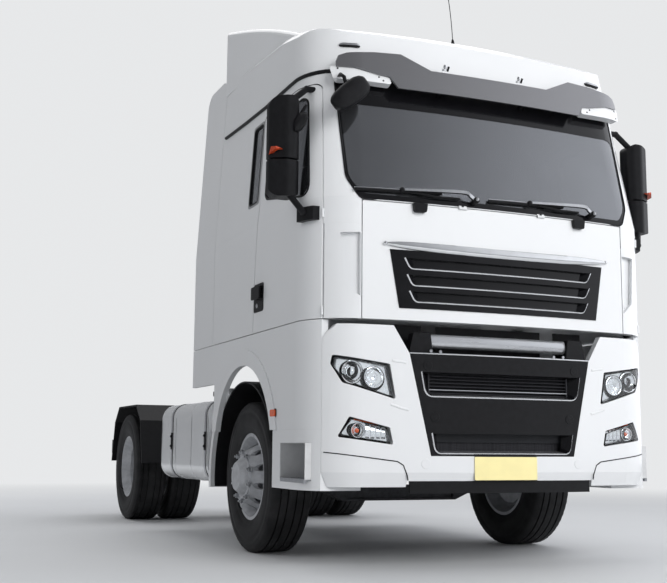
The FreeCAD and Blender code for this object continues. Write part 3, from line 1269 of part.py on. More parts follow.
def tyre_corners(centre):
    half, radius = "tyre_half", "tyre_radius"
    side = [("flange_half - flange_lip - seat_gap", "bead_radius + seat_gap * 2"),
            ("flange_half - flange_lip - seat_gap", "flange_radius + seat_gap * 2"),
            ("flange_half + flange_lip / 2", "flange_radius + flange_lip / 2"),
            (half, "flange_radius + (tyre_radius - flange_radius) * 0.5"),
            (f"{half} - flange_lip", f"{radius} - flange_lip"), (f"{half} - flange_lip * 2.4", radius)]
    right = [(f"{centre} + ({along})", up) for along, up in side]
    left = [(f"{centre} - ({along})", up) for along, up in reversed(side)]
    return right + left


def finish_wheel(body, side, station, label):
    place(body, station)
    bind(body, "Placement.Base.z", "tyre_radius")
    if side == "right":
        body.Placement.Rotation = Rotation(Vector(0, 0, 1), 180)
    return keep(label, body)


def make_front_wheel(side):
    body = doc.addObject("PartDesign::Body", f"FrontTyre{side}")
    turned(body, tyre_corners("front_track"))
    finish_wheel(body, side, "0", f"tyre_front_{side}")

    body = doc.addObject("PartDesign::Body", f"FrontRim{side}")
    turned(body, rim_corners("front_track", 1))
    drilled_ring(body, "hand_hole_circle", "hand_hole_radius", "hand_holes")
    disc = "(front_track + disc_reach)"
    turned(body, [
        ("kingpin_half + axle_boss_radius + panel_gap + knuckle_wall * 2", "spindle_radius + running_gap"),
        ("kingpin_half + axle_boss_radius + panel_gap + knuckle_wall * 2", "rotor_radius"),
        ("kingpin_half + axle_boss_radius + panel_gap + knuckle_wall * 2 + rotor_wall", "rotor_radius"),
        ("kingpin_half + axle_boss_radius + panel_gap + knuckle_wall * 2 + rotor_wall", "hub_radius"),
        (f"{disc} - rim_wall * 0.5", "hub_radius"), (f"{disc} - rim_wall * 0.5", "disc_bore + seat_gap"),
        (disc, "disc_flat - rim_wall * 2"), (f"{disc} + rim_wall * 0.4", "disc_flat - rim_wall * 2"),
        (f"{disc} + rim_wall * 0.6", "hub_radius * 1.1"), ("front_track + hub_reach - rim_wall * 2", "hub_radius"),
        ("front_track + hub_reach", "hub_radius * 0.8"), ("front_track + hub_reach", "0"),
        (f"{disc} + rim_wall * 1.4", "0"), (f"{disc} + rim_wall * 1.4", "spindle_radius + running_gap")])
    finish_wheel(body, side, "0", f"rim_front_{side}")


def make_rear_wheels(side):
    body = doc.addObject("PartDesign::Body", f"RearOuterTyre{side}")
    turned(body, tyre_corners("rear_outer_track"))
    inner = doc.addObject("PartDesign::Body", f"RearInnerTyre{side}")
    turned(inner, tyre_corners("rear_inner_track"))
    both = doc.addObject("Part::Compound", f"RearTyres{side}")
    both.Links = [body, inner]
    finish_wheel(both, side, "wheelbase", f"tyres_rear_{side}")

    body = doc.addObject("PartDesign::Body", f"RearRims{side}")
    turned(body, rim_corners("rear_outer_track", -1))
    turned(body, rim_corners("rear_inner_track", 1))
    drilled_ring(body, "hand_hole_circle", "hand_hole_radius", "hand_holes")
    disc = "(rear_outer_track - disc_reach)"
    turned(body, [
        ("rear_inner_track - tyre_half + panel_gap", "axle_tube + panel_gap"),
        ("rear_inner_track - tyre_half + panel_gap", "rotor_radius"),
        (f"{disc} - rim_wall * 2", "rotor_radius"), (f"{disc} - rim_wall", "disc_flat - rim_wall"),
        (f"{disc} + rim_wall", "disc_flat - rim_wall * 2"), (f"{disc} + rim_wall * 1.5", "hub_radius"),
        ("rear_outer_track + rear_hub_reach", "hub_radius * 0.9"), ("rear_outer_track + rear_hub_reach", "0"),
        (f"{disc} + rim_wall * 3.5", "0"), (f"{disc} + rim_wall * 3.5", "spindle_radius + running_gap"),
        (f"{disc} - rim_wall * 3", "spindle_radius + running_gap"),
        (f"{disc} - rim_wall * 3", "rotor_radius - rim_wall"),
        ("rear_inner_track - tyre_half + panel_gap + rim_wall", "rotor_radius - rim_wall"),
        ("rear_inner_track - tyre_half + panel_gap + rim_wall", "axle_tube + panel_gap")])
    finish_wheel(body, side, "wheelbase", f"rims_rear_{side}")


# Engine, tank and boxes along the frame
def make_engine():
    block_item = bound_box("EngineBlock", ("0 - engine_half", "engine_front", "engine_low"),
                           ("2 * engine_half", "engine_rear - engine_front", "engine_top - engine_low"))
    gearbox = bound_cylinder("Gearbox", ("0", "engine_rear", "gearbox_height"), "gearbox_radius",
                             "gearbox_rear - engine_rear", Vector(0, 1, 0))
    mounts = []
    for index, station in enumerate(("engine_front + cross_deep * 2", "engine_rear - cross_deep * 3")):
        mount = bound_box(f"EngineMount{index}", ("engine_half - rail_wall", station,
                                                  "rail_top - rail_rise + rail_wall * 2"),
                          ("rail_half - engine_half - seat_gap", "cross_deep", "cross_deep"))
        mounts += [mount, mirrored_object(mount)]
    fuse_objects("engine_gearbox", [block_item, gearbox] + mounts)

    core = bound_box("RadiatorCore", ("0 - radiator_half", "radiator_front", "radiator_low"),
                     ("2 * radiator_half", "radiator_deep", "radiator_top - radiator_low"))
    keep("radiator", core)


def side_box(outline_low, outline_top, inner, outer, front, rear, radius):
    outline = [(inner, outline_low), (outer, outline_low), (outer, outline_top), (inner, outline_top)]
    solid = front_prism(outline, front, rear, radius)
    hangers = []
    for share in (0.15, 0.75):
        at = front + (rear - front) * share
        hangers.append(block(size.rail_half + size.seat_gap, inner + radius, at, at + size.cross_deep,
                             size.rail_top - size.rail_rise + size.rail_wall * 2,
                             size.rail_top - size.rail_wall * 2))
    return fused([solid] + hangers)


def make_side_boxes():
    tank = side_box(size.tank_low, size.tank_top, size.tank_in, size.tank_out, size.tank_front,
                    size.tank_rear, size.tank_corner)
    keep_shape("fuel_tank", mirrored(tank))
    keep_shape("battery_box", side_box(size.tank_low + size.cross_deep / 2, size.tank_top - size.rail_wall,
                                       size.tank_in, size.tank_out - size.rail_wall, size.tank_front,
                                       size.box_rear, size.rail_wall * 2))
    keep_shape("exhaust_box", side_box(size.tank_low, size.tank_top - size.rail_wall, size.tank_in,
                                       size.tank_out - size.rail_wall, size.exhaust_front, size.tank_rear,
                                       size.tank_corner / 2))


def make_deck():
    deck = bound_box("DeckPlate", ("0 - deck_half", "deck_front", "rail_top"),
                     ("2 * deck_half", "deck_rear - deck_front", "deck_wall"))
    keep("deck_plate", deck)

    foot = size.rail_top + size.seat_gap
    half, station = size.stand_half, size.stand_station
    base = block(-size.rail_half, size.rail_half, station - size.cross_deep, station + size.cross_deep,
                 foot, foot + size.deck_wall)
    frame = rods_along([Vector(-half, station, foot + size.deck_wall), Vector(-half, station, size.stand_top),
                        Vector(half, station, size.stand_top), Vector(half, station, foot + size.deck_wall)],
                       size.stand_rod)
    shelf = block(-half, half, station - size.stand_rod, station + size.stand_rod,
                  size.stand_top - size.cross_rise * 1.6, size.stand_top - size.cross_rise)
    keep_shape("air_line_stand", fused([base, frame, shelf]))


def make_fifth_wheel():
    centre = size.wheelbase - size.fifth_ahead
    half, wall, top = size.fifth_half, size.fifth_wall, size.fifth_top
    front, rear = size.fifth_front, size.fifth_rear
    ramp_share = 0.62
    outline = [(-half, centre + rear * 0.35), (-half * 0.93, centre - front * 0.75), (-half * 0.55, centre - front),
               (half * 0.55, centre - front), (half * 0.93, centre - front * 0.75), (half, centre + rear * 0.35),
               (half * ramp_share, centre + rear), (size.throat_half * 3, centre + rear),
               (size.throat_half, centre + size.lock_radius * 3), (-size.throat_half, centre + size.lock_radius * 3),
               (-size.throat_half * 3, centre + rear), (-half * ramp_share, centre + rear)]
    radius = size.fifth_wall
    radii = [radius, radius * 3, radius * 3, radius * 3, radius * 3, radius, radius, radius / 2, 0, 0, radius / 2,
             radius]
    plate = plan_prism(outline, top - wall, top, radii)
    drop = size.fifth_pivot_drop
    slope = side_prism([(centre + rear * 0.4, top + size.overrun), (centre + rear * 0.4, top),
                        (centre + rear * 1.05, top - wall * 0.8), (centre + rear * 1.05, top + size.overrun)],
                       -wide, wide)
    plate = plate.cut(slope)
    bore = Part.makeCylinder(size.lock_radius, size.overrun, Vector(0, centre, top - size.overrun / 2))
    jaw = Part.makeCylinder(size.lock_radius * 2.6, wall * 1.6, Vector(0, centre, top - wall * 1.6))
    ear_out = size.fifth_ear_half - size.fifth_ear_wall / 2 - size.panel_gap
    pivot = top - drop
    ears, pins = [], []
    for sign in (-1, 1):
        inner, outer = sorted((sign * (ear_out - size.fifth_ear_wall), sign * ear_out))
        ears.append(side_prism([(centre - drop, top - wall), (centre - size.fifth_pin * 1.4, pivot - size.fifth_pin),
                                (centre + size.fifth_pin * 1.4, pivot - size.fifth_pin),
                                (centre + drop, top - wall)], inner, outer))
        pins.append(rod(Vector(sign * (ear_out - size.fifth_ear_wall), centre, pivot),
                        Vector(sign * (size.fifth_ear_half + size.fifth_ear_wall / 2), centre, pivot),
                        size.fifth_pin / 2))
    keep_shape("fifth_wheel_plate", fused([plate, jaw] + ears + pins).cut(bore))

    foot = size.rail_top + size.seat_gap
    base = block(-size.rail_half, size.rail_half, centre - front, centre + rear, foot, foot + size.deck_wall)
    ears = []
    for sign in (-1, 1):
        inner = sign * (size.fifth_ear_half - size.fifth_ear_wall / 2)
        outer = sign * (size.fifth_ear_half + size.fifth_ear_wall / 2)
        low = foot + size.deck_wall
        ear = side_prism([(centre - drop * 1.6, low), (centre - size.fifth_pin, pivot + size.fifth_pin * 0.8),
                          (centre + size.fifth_pin, pivot + size.fifth_pin * 0.8), (centre + drop * 1.6, low)],
                         min(inner, outer), max(inner, outer))
        hole = rod(Vector(min(inner, outer), centre, pivot), Vector(max(inner, outer), centre, pivot),
                   size.fifth_pin / 2 + size.running_gap)
        ears.append(ear.cut(hole))
    keep_shape("fifth_wheel_base", fused([base] + ears))


def make_tail():
    station = size.rail_rear + size.seat_gap
    rear = size.wheelbase + size.rear_overhang
    bar = block(-size.tail_half, size.tail_half, station, station + size.tail_deep / 2,
                size.tail_top - size.cross_deep / 2, size.tail_top)
    lamp = block(size.tail_half - size.tail_wide, size.tail_half, station, rear, size.tail_low, size.tail_top)
    keep_shape("tail_lamps", fused([bar, lamp, mirrored(lamp)]))


make_cab()
make_glass()
for side in ("right", "left"):
    make_door(side)
    make_door_mirror(side)
    make_knuckle(side)
    make_front_wheel(side)
    make_rear_wheels(side)
make_flap()
make_upper_grille()
make_deflector(make_roof())
make_visor()
make_fairings()
make_wipers()
make_front_mirror()
make_inside()
make_bumper()
make_bumper_beam()
make_steps()
make_fenders()
make_mudguards()
make_frame()
make_tilt_arms()
make_axles()
make_engine()
make_side_boxes()
make_deck()
make_fifth_wheel()
make_tail()


doc.recompute()
for item in doc.Objects:
    if "Invalid" in item.State or "Error" in item.State:
        raise RuntimeError(f"{item.Label} failed")
for item in nodes:
    if item.Shape.isNull() or not item.Shape.isValid():
        raise RuntimeError(f"{item.Label} has no valid shape")
os.makedirs("parts", exist_ok=True)
for item in nodes:
    item.Shape.exportStep(f"parts/{item.Label}.step")
    print(item.Label, len(item.Shape.Solids), "solids")
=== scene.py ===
import json
import math
import bmesh
import bpy
from mathutils import Matrix, Vector
from mathutils.bvhtree import BVHTree

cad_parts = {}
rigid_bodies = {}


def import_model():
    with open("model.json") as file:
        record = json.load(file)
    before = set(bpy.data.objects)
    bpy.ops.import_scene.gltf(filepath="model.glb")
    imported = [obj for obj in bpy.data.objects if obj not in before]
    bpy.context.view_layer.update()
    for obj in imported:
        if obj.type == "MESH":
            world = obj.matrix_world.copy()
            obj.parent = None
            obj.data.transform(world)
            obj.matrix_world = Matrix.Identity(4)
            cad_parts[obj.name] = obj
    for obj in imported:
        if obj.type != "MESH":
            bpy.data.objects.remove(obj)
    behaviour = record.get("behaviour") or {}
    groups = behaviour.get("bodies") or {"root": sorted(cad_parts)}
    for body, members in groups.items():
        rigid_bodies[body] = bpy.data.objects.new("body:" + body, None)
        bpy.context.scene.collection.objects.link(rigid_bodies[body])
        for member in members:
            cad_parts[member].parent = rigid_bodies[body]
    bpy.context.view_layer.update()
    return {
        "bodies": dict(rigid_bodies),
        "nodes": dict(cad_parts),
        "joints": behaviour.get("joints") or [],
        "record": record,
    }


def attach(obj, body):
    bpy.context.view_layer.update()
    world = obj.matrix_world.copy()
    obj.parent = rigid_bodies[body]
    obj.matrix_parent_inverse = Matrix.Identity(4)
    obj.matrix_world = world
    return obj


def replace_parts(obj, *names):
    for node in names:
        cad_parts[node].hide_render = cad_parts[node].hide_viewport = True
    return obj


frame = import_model()
print("frame loaded")

nodes = frame["nodes"]
frontAxle = next(j["pos_m"][1] for j in frame["joints"] if j["name"] == "front_wheel_right_spin")
sides = (("right", -1), ("left", 1))


def at(x, station, z):  # stations run rearwards from the front axle
    return Vector((x, frontAxle + station, z))


def between(low, high, share):
    return low + (high - low) * share


# Materials
def setInputs(tree, node, inputs):  # an input takes a value or another node's output
    for key, value in inputs.items():
        if isinstance(value, bpy.types.NodeSocket):
            tree.links.new(value, node.inputs[key])
        else:
            node.inputs[key].default_value = value


def addNode(tree, kind, inputs=None, output=0, **settings):
    node = tree.nodes.new("ShaderNode" + kind)
    for key, value in settings.items():
        setattr(node, key, value)
    setInputs(tree, node, inputs or {})
    return node.outputs[output]


def finish(name, colour, rough, metal=0.0, coat=0.0, spread=0.06, scale=6.0, grain=0.0, grainScale=400.0,
           roughSpread=0.05, specular=0.5, stretch=(1, 1, 1), blend=None):
    # colour and roughness vary in soft clouds, whose light parts may blend to another colour; grain is a fine bump
    made = bpy.data.materials.new(name)
    made.use_nodes = True
    tree = made.node_tree
    shader = tree.nodes["Principled BSDF"]
    place = addNode(tree, "Mapping", {"Vector": addNode(tree, "TexCoord", output="Object"), "Scale": stretch})
    cloud = addNode(tree, "TexNoise", {"Vector": place, "Scale": scale, "Detail": 6})
    colours = addNode(tree, "ValToRGB", {"Fac": cloud})
    dark, light = colours.node.color_ramp.elements
    dark.position, light.position = 0.3, 0.7
    dark.color = (*(c * (1 - spread) for c in colour), 1)
    light.color = (*(min(1, c * (1 + spread)) for c in blend or colour), 1)
    roughness = addNode(tree, "MapRange", {"Value": cloud, "To Min": max(0.02, rough - roughSpread),
                                           "To Max": min(1, rough + roughSpread)})
    setInputs(tree, shader, {"Base Color": colours, "Roughness": roughness, "Metallic": metal, "Coat Weight": coat,
                             "Coat Roughness": 0.08, "Specular IOR Level": specular})
    if grain:
        fine = addNode(tree, "TexNoise", {"Vector": place, "Scale": grainScale, "Detail": 3})
        bump = addNode(tree, "Bump", {"Height": fine, "Strength": grain, "Distance": 0.001})
        setInputs(tree, shader, {"Normal": bump})
    return made


def clearFinish(name, colour, transmission, ior, rough=0.02, spread=0.05, metal=0.0):
    made = finish(name, colour, rough, metal=metal, spread=spread, roughSpread=0.01, scale=2.0)
    tree = made.node_tree
    setInputs(tree, tree.nodes["Principled BSDF"], {"Transmission Weight": transmission, "IOR": ior})
    return made


def addLining(made, centre, colour):  # faces that look at the centre take the lining's colour
    tree = made.node_tree
    base = tree.nodes["Principled BSDF"].inputs["Base Color"]
    where = addNode(tree, "TexCoord", output="Object")
    out = addNode(tree, "VectorMath", {0: where, 1: centre}, operation="SUBTRACT")
    normal = where.node.outputs["Normal"]
    facing = addNode(tree, "VectorMath", {0: out, 1: normal}, "Value", operation="DOT_PRODUCT")
    inward = addNode(tree, "Math", {0: facing, 1: 0.0}, operation="LESS_THAN")
    lined = addNode(tree, "Mix", {0: inward, 6: base.links[0].from_socket, 7: (*colour, 1)}, 2, data_type="RGBA")
    tree.links.new(lined, base)


paintLook = {"colour": (0.74, 0.75, 0.76), "rough": 0.3, "coat": 0.7, "spread": 0.012, "scale": 1.3,
             "grain": 0.05, "grainScale": 260, "roughSpread": 0.03}
whitePaint = finish("whitePaint", **paintLook)
cabPaint = finish("cabPaint", **paintLook)
addLining(cabPaint, (0, frontAxle - 0.3, 2.3), (0.10, 0.10, 0.108))
darkPlastic = finish("darkPlastic", (0.007, 0.007, 0.008), 0.46, spread=0.25, scale=30, grain=0.35, grainScale=900,
                     specular=0.24)
glossBlack = finish("glossBlack", (0.005, 0.005, 0.006), 0.14, spread=0.2, scale=8, specular=0.3)
visorGrey = finish("visorGrey", (0.25, 0.25, 0.26), 0.3, metal=0.8, coat=0.3, spread=0.2, scale=1400,
                   grain=0.08, grainScale=1600)
screenGlass = clearFinish("screenGlass", (0.30, 0.31, 0.33), 0.85, 1.6, metal=0.55)
sideGlass = clearFinish("sideGlass", (0.30, 0.31, 0.33), 0.85, 1.55, metal=0.5)
lensGlass = clearFinish("lensGlass", (0.94, 0.96, 0.98), 1.0, 1.38, 0.01, 0.01)
chrome = finish("chrome", (0.78, 0.79, 0.8), 0.09, metal=1.0, spread=0.03, scale=14, roughSpread=0.03)
silver = finish("silver", (0.52, 0.53, 0.55), 0.3, metal=0.9, scale=50, grain=0.06)
lipSilver = finish("lipSilver", (0.86, 0.87, 0.89), 0.24, metal=0.92, spread=0.04, scale=50)
lampChrome = finish("lampChrome", (0.9, 0.91, 0.92), 0.1, metal=0.8, spread=0.03, scale=30)
barSteel = finish("barSteel", (0.55, 0.56, 0.58), 0.28, metal=0.85, spread=0.1, scale=40, stretch=(0.04, 1, 1))
tyreRubber = finish("tyreRubber", (0.010, 0.010, 0.011), 0.62, spread=0.3, scale=9, grain=0.3, grainScale=500,
                    blend=(0.019, 0.019, 0.020), specular=0.25)
wheelSteel = finish("wheelSteel", (0.40, 0.41, 0.43), 0.42, metal=0.3, spread=0.08, scale=20, grain=0.12,
                    grainScale=700, blend=(0.48, 0.49, 0.51))
chassisPaint = finish("chassisPaint", (0.016, 0.017, 0.020), 0.5, spread=0.25, scale=12, grain=0.25, grainScale=200,
                      specular=0.3)
castIron = finish("castIron", (0.05, 0.05, 0.055), 0.62, metal=0.4, spread=0.3, scale=35, grain=0.6, grainScale=300)
engineMetal = finish("engineMetal", (0.13, 0.135, 0.145), 0.6, metal=0.4, spread=0.1, scale=26, grain=0.5,
                     grainScale=160)
finMetal = finish("finMetal", (0.03, 0.03, 0.034), 0.5, metal=0.3, spread=0.3, scale=90, stretch=(1, 1, 0.05),
                  specular=0.2)
tankAluminium = finish("tankAluminium", (0.84, 0.85, 0.86), 0.26, metal=0.6, spread=0.03, scale=5,
                       stretch=(1, 0.1, 1), roughSpread=0.02)
plateSteel = finish("plateSteel", (0.13, 0.13, 0.135), 0.4, metal=0.8, spread=0.14, scale=24, grain=0.3,
                    blend=(0.155, 0.152, 0.15))
treadMetal = finish("treadMetal", (0.36, 0.37, 0.39), 0.38, metal=0.8, spread=0.12, scale=40, grain=0.2)
redLens = finish("redLens", (0.42, 0.012, 0.01), 0.16, coat=0.6, spread=0.15, scale=60, grain=0.2, grainScale=220)
orangeLens = finish("orangeLens", (0.75, 0.10, 0.012), 0.18, coat=0.5, spread=0.15, scale=70, grain=0.2,
                    grainScale=240)
amberLens = finish("amberLens", (0.42, 0.045, 0.010), 0.2, coat=0.4, spread=0.15, scale=90, grain=0.2,
                   grainScale=240)
clearLens = finish("clearLens", (0.62, 0.63, 0.65), 0.14, coat=0.6, spread=0.1, scale=90, grain=0.25,
                   grainScale=180)
greaseDark = finish("greaseDark", (0.012, 0.010, 0.008), 0.22, spread=0.4, scale=18, grain=0.5, grainScale=120)
dashPlastic = finish("dashPlastic", (0.11, 0.11, 0.12), 0.6, spread=0.2, scale=20, grain=0.5, grainScale=600)
seatFabric = finish("seatFabric", (0.09, 0.095, 0.11), 0.85, spread=0.25, scale=220, grain=0.8, grainScale=1200)
mattressFabric = finish("mattressFabric", (0.24, 0.25, 0.27), 0.9, spread=0.18, scale=180, grain=0.8,
                        grainScale=1000)
stepGrey = finish("stepGrey", (0.6, 0.605, 0.61), 0.45, scale=14, grain=0.2)
greyTrim = finish("greyTrim", (0.24, 0.245, 0.25), 0.42, spread=0.08, scale=30, grain=0.2)
plateYellow = finish("plateYellow", (0.90, 0.80, 0.40), 0.4, spread=0.03, scale=12, grain=0.05)
couplingRed = finish("couplingRed", (0.55, 0.03, 0.02), 0.35, spread=0.1, scale=30)
couplingYellow = finish("couplingYellow", (0.75, 0.52, 0.03), 0.35, spread=0.1, scale=30)
mirrorGlass = finish("mirrorGlass", (0.75, 0.76, 0.78), 0.03, metal=1.0, spread=0.02, roughSpread=0.01)
print("materials made")

nodeFinish = {
    cabPaint: "cab_shell roof door_right door_left",
    whitePaint: "corner_panels roof_deflector side_fairings front_flap bumper side_skirts step_boxes fender_panels",
    screenGlass: "cab_glass",
    sideGlass: "door_glass_right door_glass_left",
    glossBlack: "upper_grille front_lamps",
    visorGrey: "sun_visor",
    darkPlastic: "front_valance bumper_grille wipers mirror_right mirror_left front_mirror front_fenders "
                 "rear_mudguards battery_box tail_lamps",
    barSteel: "step_bar",
    chassisPaint: "bumper_beam chassis_frame cab_tilt_arms leaf_springs air_line_stand fifth_wheel_base",
    castIron: "front_axle_beam rear_axle propeller_shaft knuckle_right knuckle_left",
    engineMetal: "engine_gearbox exhaust_box",
    finMetal: "radiator",
    tankAluminium: "fuel_tank",
    treadMetal: "deck_plate",
    plateSteel: "fifth_wheel_plate",
    dashPlastic: "dashboard",
    seatFabric: "seats",
    mattressFabric: "bunk",
    tyreRubber: "tyre_front_right tyre_front_left tyres_rear_right tyres_rear_left",
    wheelSteel: "rim_front_right rim_front_left rims_rear_right rims_rear_left",
}
smoothAngle = math.radians(28)
for made, labels in nodeFinish.items():
    for label in labels.split():
        mesh = nodes[label].data
        mesh.materials.clear()
        mesh.materials.append(made)
        mesh.shade_smooth()
        mesh.set_sharp_from_angle(angle=smoothAngle)
print("carried-over pieces finished")


# Mesh helpers
class Shape:  # gathers the faces of one piece
    def __init__(self):
        self.points, self.faces, self.paints = [], [], []

    def add(self, points, faces, paint=0):
        base = len(self.points)
        self.points += [Vector(p) for p in points]
        self.faces += [[base + i for i in face] for face in faces]
        self.paints += [paint] * len(faces)

    def box(self, low, high, paint=0):
        x, y, z = zip(low, high)
        corners = [(x[i & 1], y[i >> 1 & 1], z[i >> 2]) for i in range(8)]
        faces = [(0, 2, 3, 1), (4, 5, 7, 6), (0, 1, 5, 4), (1, 3, 7, 5), (3, 2, 6, 7), (2, 0, 4, 6)]
        self.add(corners, faces, paint)

    def grid(self, rows, paint=0, around=False, closed=False):
        # surface through rows of points, with one paint or one a strip; around joins the ends of each row
        width, count = len(rows[0]), len(rows)
        steps, strips = width if around else width - 1, count if closed else count - 1
        faces = [(k, (k + 1) % width, width + (k + 1) % width, width + k) for k in range(steps)]
        for index in range(strips):
            points = [*rows[index], *rows[(index + 1) % count]]
            self.add(points, faces, paint[index] if isinstance(paint, list) else paint)

    def ends(self, rows, paint=0):  # faces that close a grid at its first and last row
        for row in (rows[0], rows[-1]):
            self.add(row, [tuple(range(len(row)))], paint)

    def bar(self, rows, paint=0):
        self.grid(rows, paint, around=True)
        self.ends(rows, paint)

    def tube(self, path, radius, paint=0, sides=12, closed=False):
        run = Vector((0, 1, 0)) if closed else path[-1] - path[0]
        up = Vector((0, 0, 1)) if abs(run.normalized().z) < 0.8 else Vector((0, 1, 0))
        count = len(path)
        rows = []
        for index, point in enumerate(path):
            back = path[index - 1] if index or closed else point
            ahead = path[(index + 1) % count] if index < count - 1 or closed else point
            along = (ahead - back).normalized()
            side = along.cross(up).normalized()
            rise = side.cross(along)
            rows.append([point + (side * c + rise * s) * radius for c, s in circle(sides)])
        self.grid(rows, paint, around=True, closed=closed)
        if not closed:
            self.ends(rows, paint)

    def turned(self, profile, centre, axis, paint=0, steps=32):  # profile: (along the axis, radius)
        axis = Vector(axis).normalized()
        side = axis.orthogonal().normalized()
        other = axis.cross(side)
        self.grid([[centre + axis * a + (side * c + other * s) * r for a, r in profile] for c, s in circle(steps)],
                  paint, closed=True)

    def piece(self, name, body, finishes, slot, bevel=0.0, angle=30, segments=2, subdivide=0):
        mesh = bpy.data.meshes.new(name)
        mesh.from_pydata([tuple(p) for p in self.points], [], self.faces)
        for one in finishes if isinstance(finishes, list) else [finishes]:
            mesh.materials.append(one)
        mesh.polygons.foreach_set("material_index", self.paints)
        joined = bmesh.new()
        joined.from_mesh(mesh)
        bmesh.ops.remove_doubles(joined, verts=joined.verts, dist=0.00002)
        bmesh.ops.recalc_face_normals(joined, faces=joined.faces)
        joined.to_mesh(mesh)
        joined.free()
        made = bpy.data.objects.new(name, mesh)
        bpy.context.scene.collection.objects.link(made)
        if bevel:
            edge = made.modifiers.new("edge", "BEVEL")
            edge.width, edge.segments, edge.limit_method = bevel, segments, "ANGLE"
            edge.angle_limit = math.radians(angle)
            edge.use_clamp_overlap = True
        mesh.shade_smooth()
        if subdivide:
            made.modifiers.new("round", "SUBSURF").levels = subdivide
            made.modifiers["round"].render_levels = subdivide
        else:
            mesh.set_sharp_from_angle(angle=math.radians(angle + 4))
        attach(made, body)
        return made


def circle(steps):
    return [(math.cos(2 * math.pi * k / steps), math.sin(2 * math.pi * k / steps)) for k in range(steps)]


def rounded(corners, radius, steps=5):  # outline whose corners are rounded
    count = len(corners)
    radii = radius if isinstance(radius, list) else [radius] * count
    made = []
    for index, corner in enumerate(corners):
        here = Vector(corner)
        back = Vector(corners[index - 1]) - here
        ahead = Vector(corners[(index + 1) % count]) - here
        if radii[index] <= 0:
            made.append(here)
            continue
        half = back.angle(ahead) / 2
        reach = min(radii[index] / math.tan(half), back.length * 0.49, ahead.length * 0.49)
        start, end = here + back.normalized() * reach, here + ahead.normalized() * reach
        for step in range(steps + 1):
            t = step / steps
            made.append(start * (1 - t) ** 2 + here * 2 * t * (1 - t) + end * t ** 2)
    return made


def panel(lowX, highX, lowZ, highZ, radius, steps=5):  # rectangle with rounded corners
    return rounded([(lowX, lowZ), (highX, lowZ), (highX, highZ), (lowX, highZ)], radius, steps)


def flipped(outline, sign):
    return [(sign * x, z) for x, z in outline]


def symmetric(half):
    return half + flipped(half[::-1], -1)


def divided(run, step):  # points added so that none lie further apart than a step
    made = []
    for a, b in zip(run, run[1:]):
        cuts = max(1, math.ceil((b - a).length / step))
        made += [a.lerp(b, k / cuts) for k in range(cuts)]
    return made + [run[-1]]


def smoothRun(points, steps=8):  # curve through the points
    made = []
    padded = [points[0], *points, points[-1]]
    for a, b, c, d in zip(padded, padded[1:], padded[2:], padded[3:]):
        for step in range(steps):
            t = step / steps
            made.append(0.5 * ((2 * b) + (c - a) * t + (2 * a - 5 * b + 4 * c - d) * t ** 2
                               + (3 * b - a - 3 * c + d) * t ** 3))
    return made + [points[-1]]


# Cab form: bowed front, round corners, sides and screen that lean in above the sill
cabForm = {"half": 1.245, "front": -1.485, "sill": 2.222, "corner": 0.331, "bow": 8.7, "screenLean": 0.2326,
           "sideLean": 0.0566}


def formPoint(side, across, height):  # across is x on the front, the station on a side
    rise = max(0, height - cabForm["sill"])
    front, width = cabForm["front"] + rise * cabForm["screenLean"], cabForm["half"] - rise * cabForm["sideLean"]
    corner, bow = cabForm["corner"], cabForm["bow"]
    flat = (width - corner) / (1 - corner / bow)
    lift = math.sqrt(bow ** 2 - flat ** 2)
    centreX, centreY = width - corner, front + bow - (bow - corner) * lift / bow
    if side == "front":
        out = abs(across)
        if out <= flat:
            return at(across, front + bow - math.sqrt(bow ** 2 - across ** 2), height)
        return at(across, centreY - math.sqrt(max(0, corner ** 2 - (out - centreX) ** 2)), height)
    back = min(0, across - centreY)
    reach = centreX + math.sqrt(max(0, corner ** 2 - back ** 2))
    return at(-reach if side == "right" else reach, across, height)


def formNormal(side, across, height):
    step = 0.004
    here = formPoint(side, across, height)
    normal = (formPoint(side, across + step, height) - here).cross(formPoint(side, across, height + step) - here)
    outward = {"front": Vector((0, -1, 0)), "right": Vector((-1, 0, 0)), "left": Vector((1, 0, 0))}[side]
    return normal.normalized() if normal.dot(outward) > 0 else -normal.normalized()


def onForm(side, across, height, lift=0.0):
    return formPoint(side, across, height) + formNormal(side, across, height) * lift


def patch(shape, side, outline, lift, wall, paint=0, holes=(), step=0.06):
    # plate that follows the cab form, cut to an outline
    sheet = bmesh.new()
    edges = []
    for loop in (outline, *holes):
        ring = [sheet.verts.new((p[0], p[1], 0)) for p in loop]
        edges += [sheet.edges.new((ring[i - 1], ring[i])) for i in range(len(ring))]
    bmesh.ops.triangle_fill(sheet, use_beauty=True, edges=edges)
    for axis in (0, 1):
        low, high = min(p[axis] for p in outline), max(p[axis] for p in outline)
        cuts = max(1, math.ceil((high - low) / step))
        for cut in range(1, cuts):
            spot, normal = [0, 0, 0], [0, 0, 0]
            spot[axis], normal[axis] = low + (high - low) * cut / cuts, 1
            bmesh.ops.bisect_plane(sheet, geom=sheet.verts[:] + sheet.edges[:] + sheet.faces[:], plane_co=spot,
                                   plane_no=normal)
    bmesh.ops.remove_doubles(sheet, verts=sheet.verts, dist=0.0001)
    sheet.verts.index_update()
    flat = [(v.co.x, v.co.y) for v in sheet.verts]
    count = len(flat)
    faces = [[v.index for v in face.verts] for face in sheet.faces]
    rim = [(e.verts[0].index, e.verts[1].index) for e in sheet.edges if len(e.link_faces) == 1]
    sheet.free()
    shape.add([onForm(side, a, b, lift) for a, b in flat] + [onForm(side, a, b, lift - wall) for a, b in flat],
              faces + [[count + i for i in reversed(face)] for face in faces]
              + [(a, b, count + b, count + a) for a, b in rim], paint)


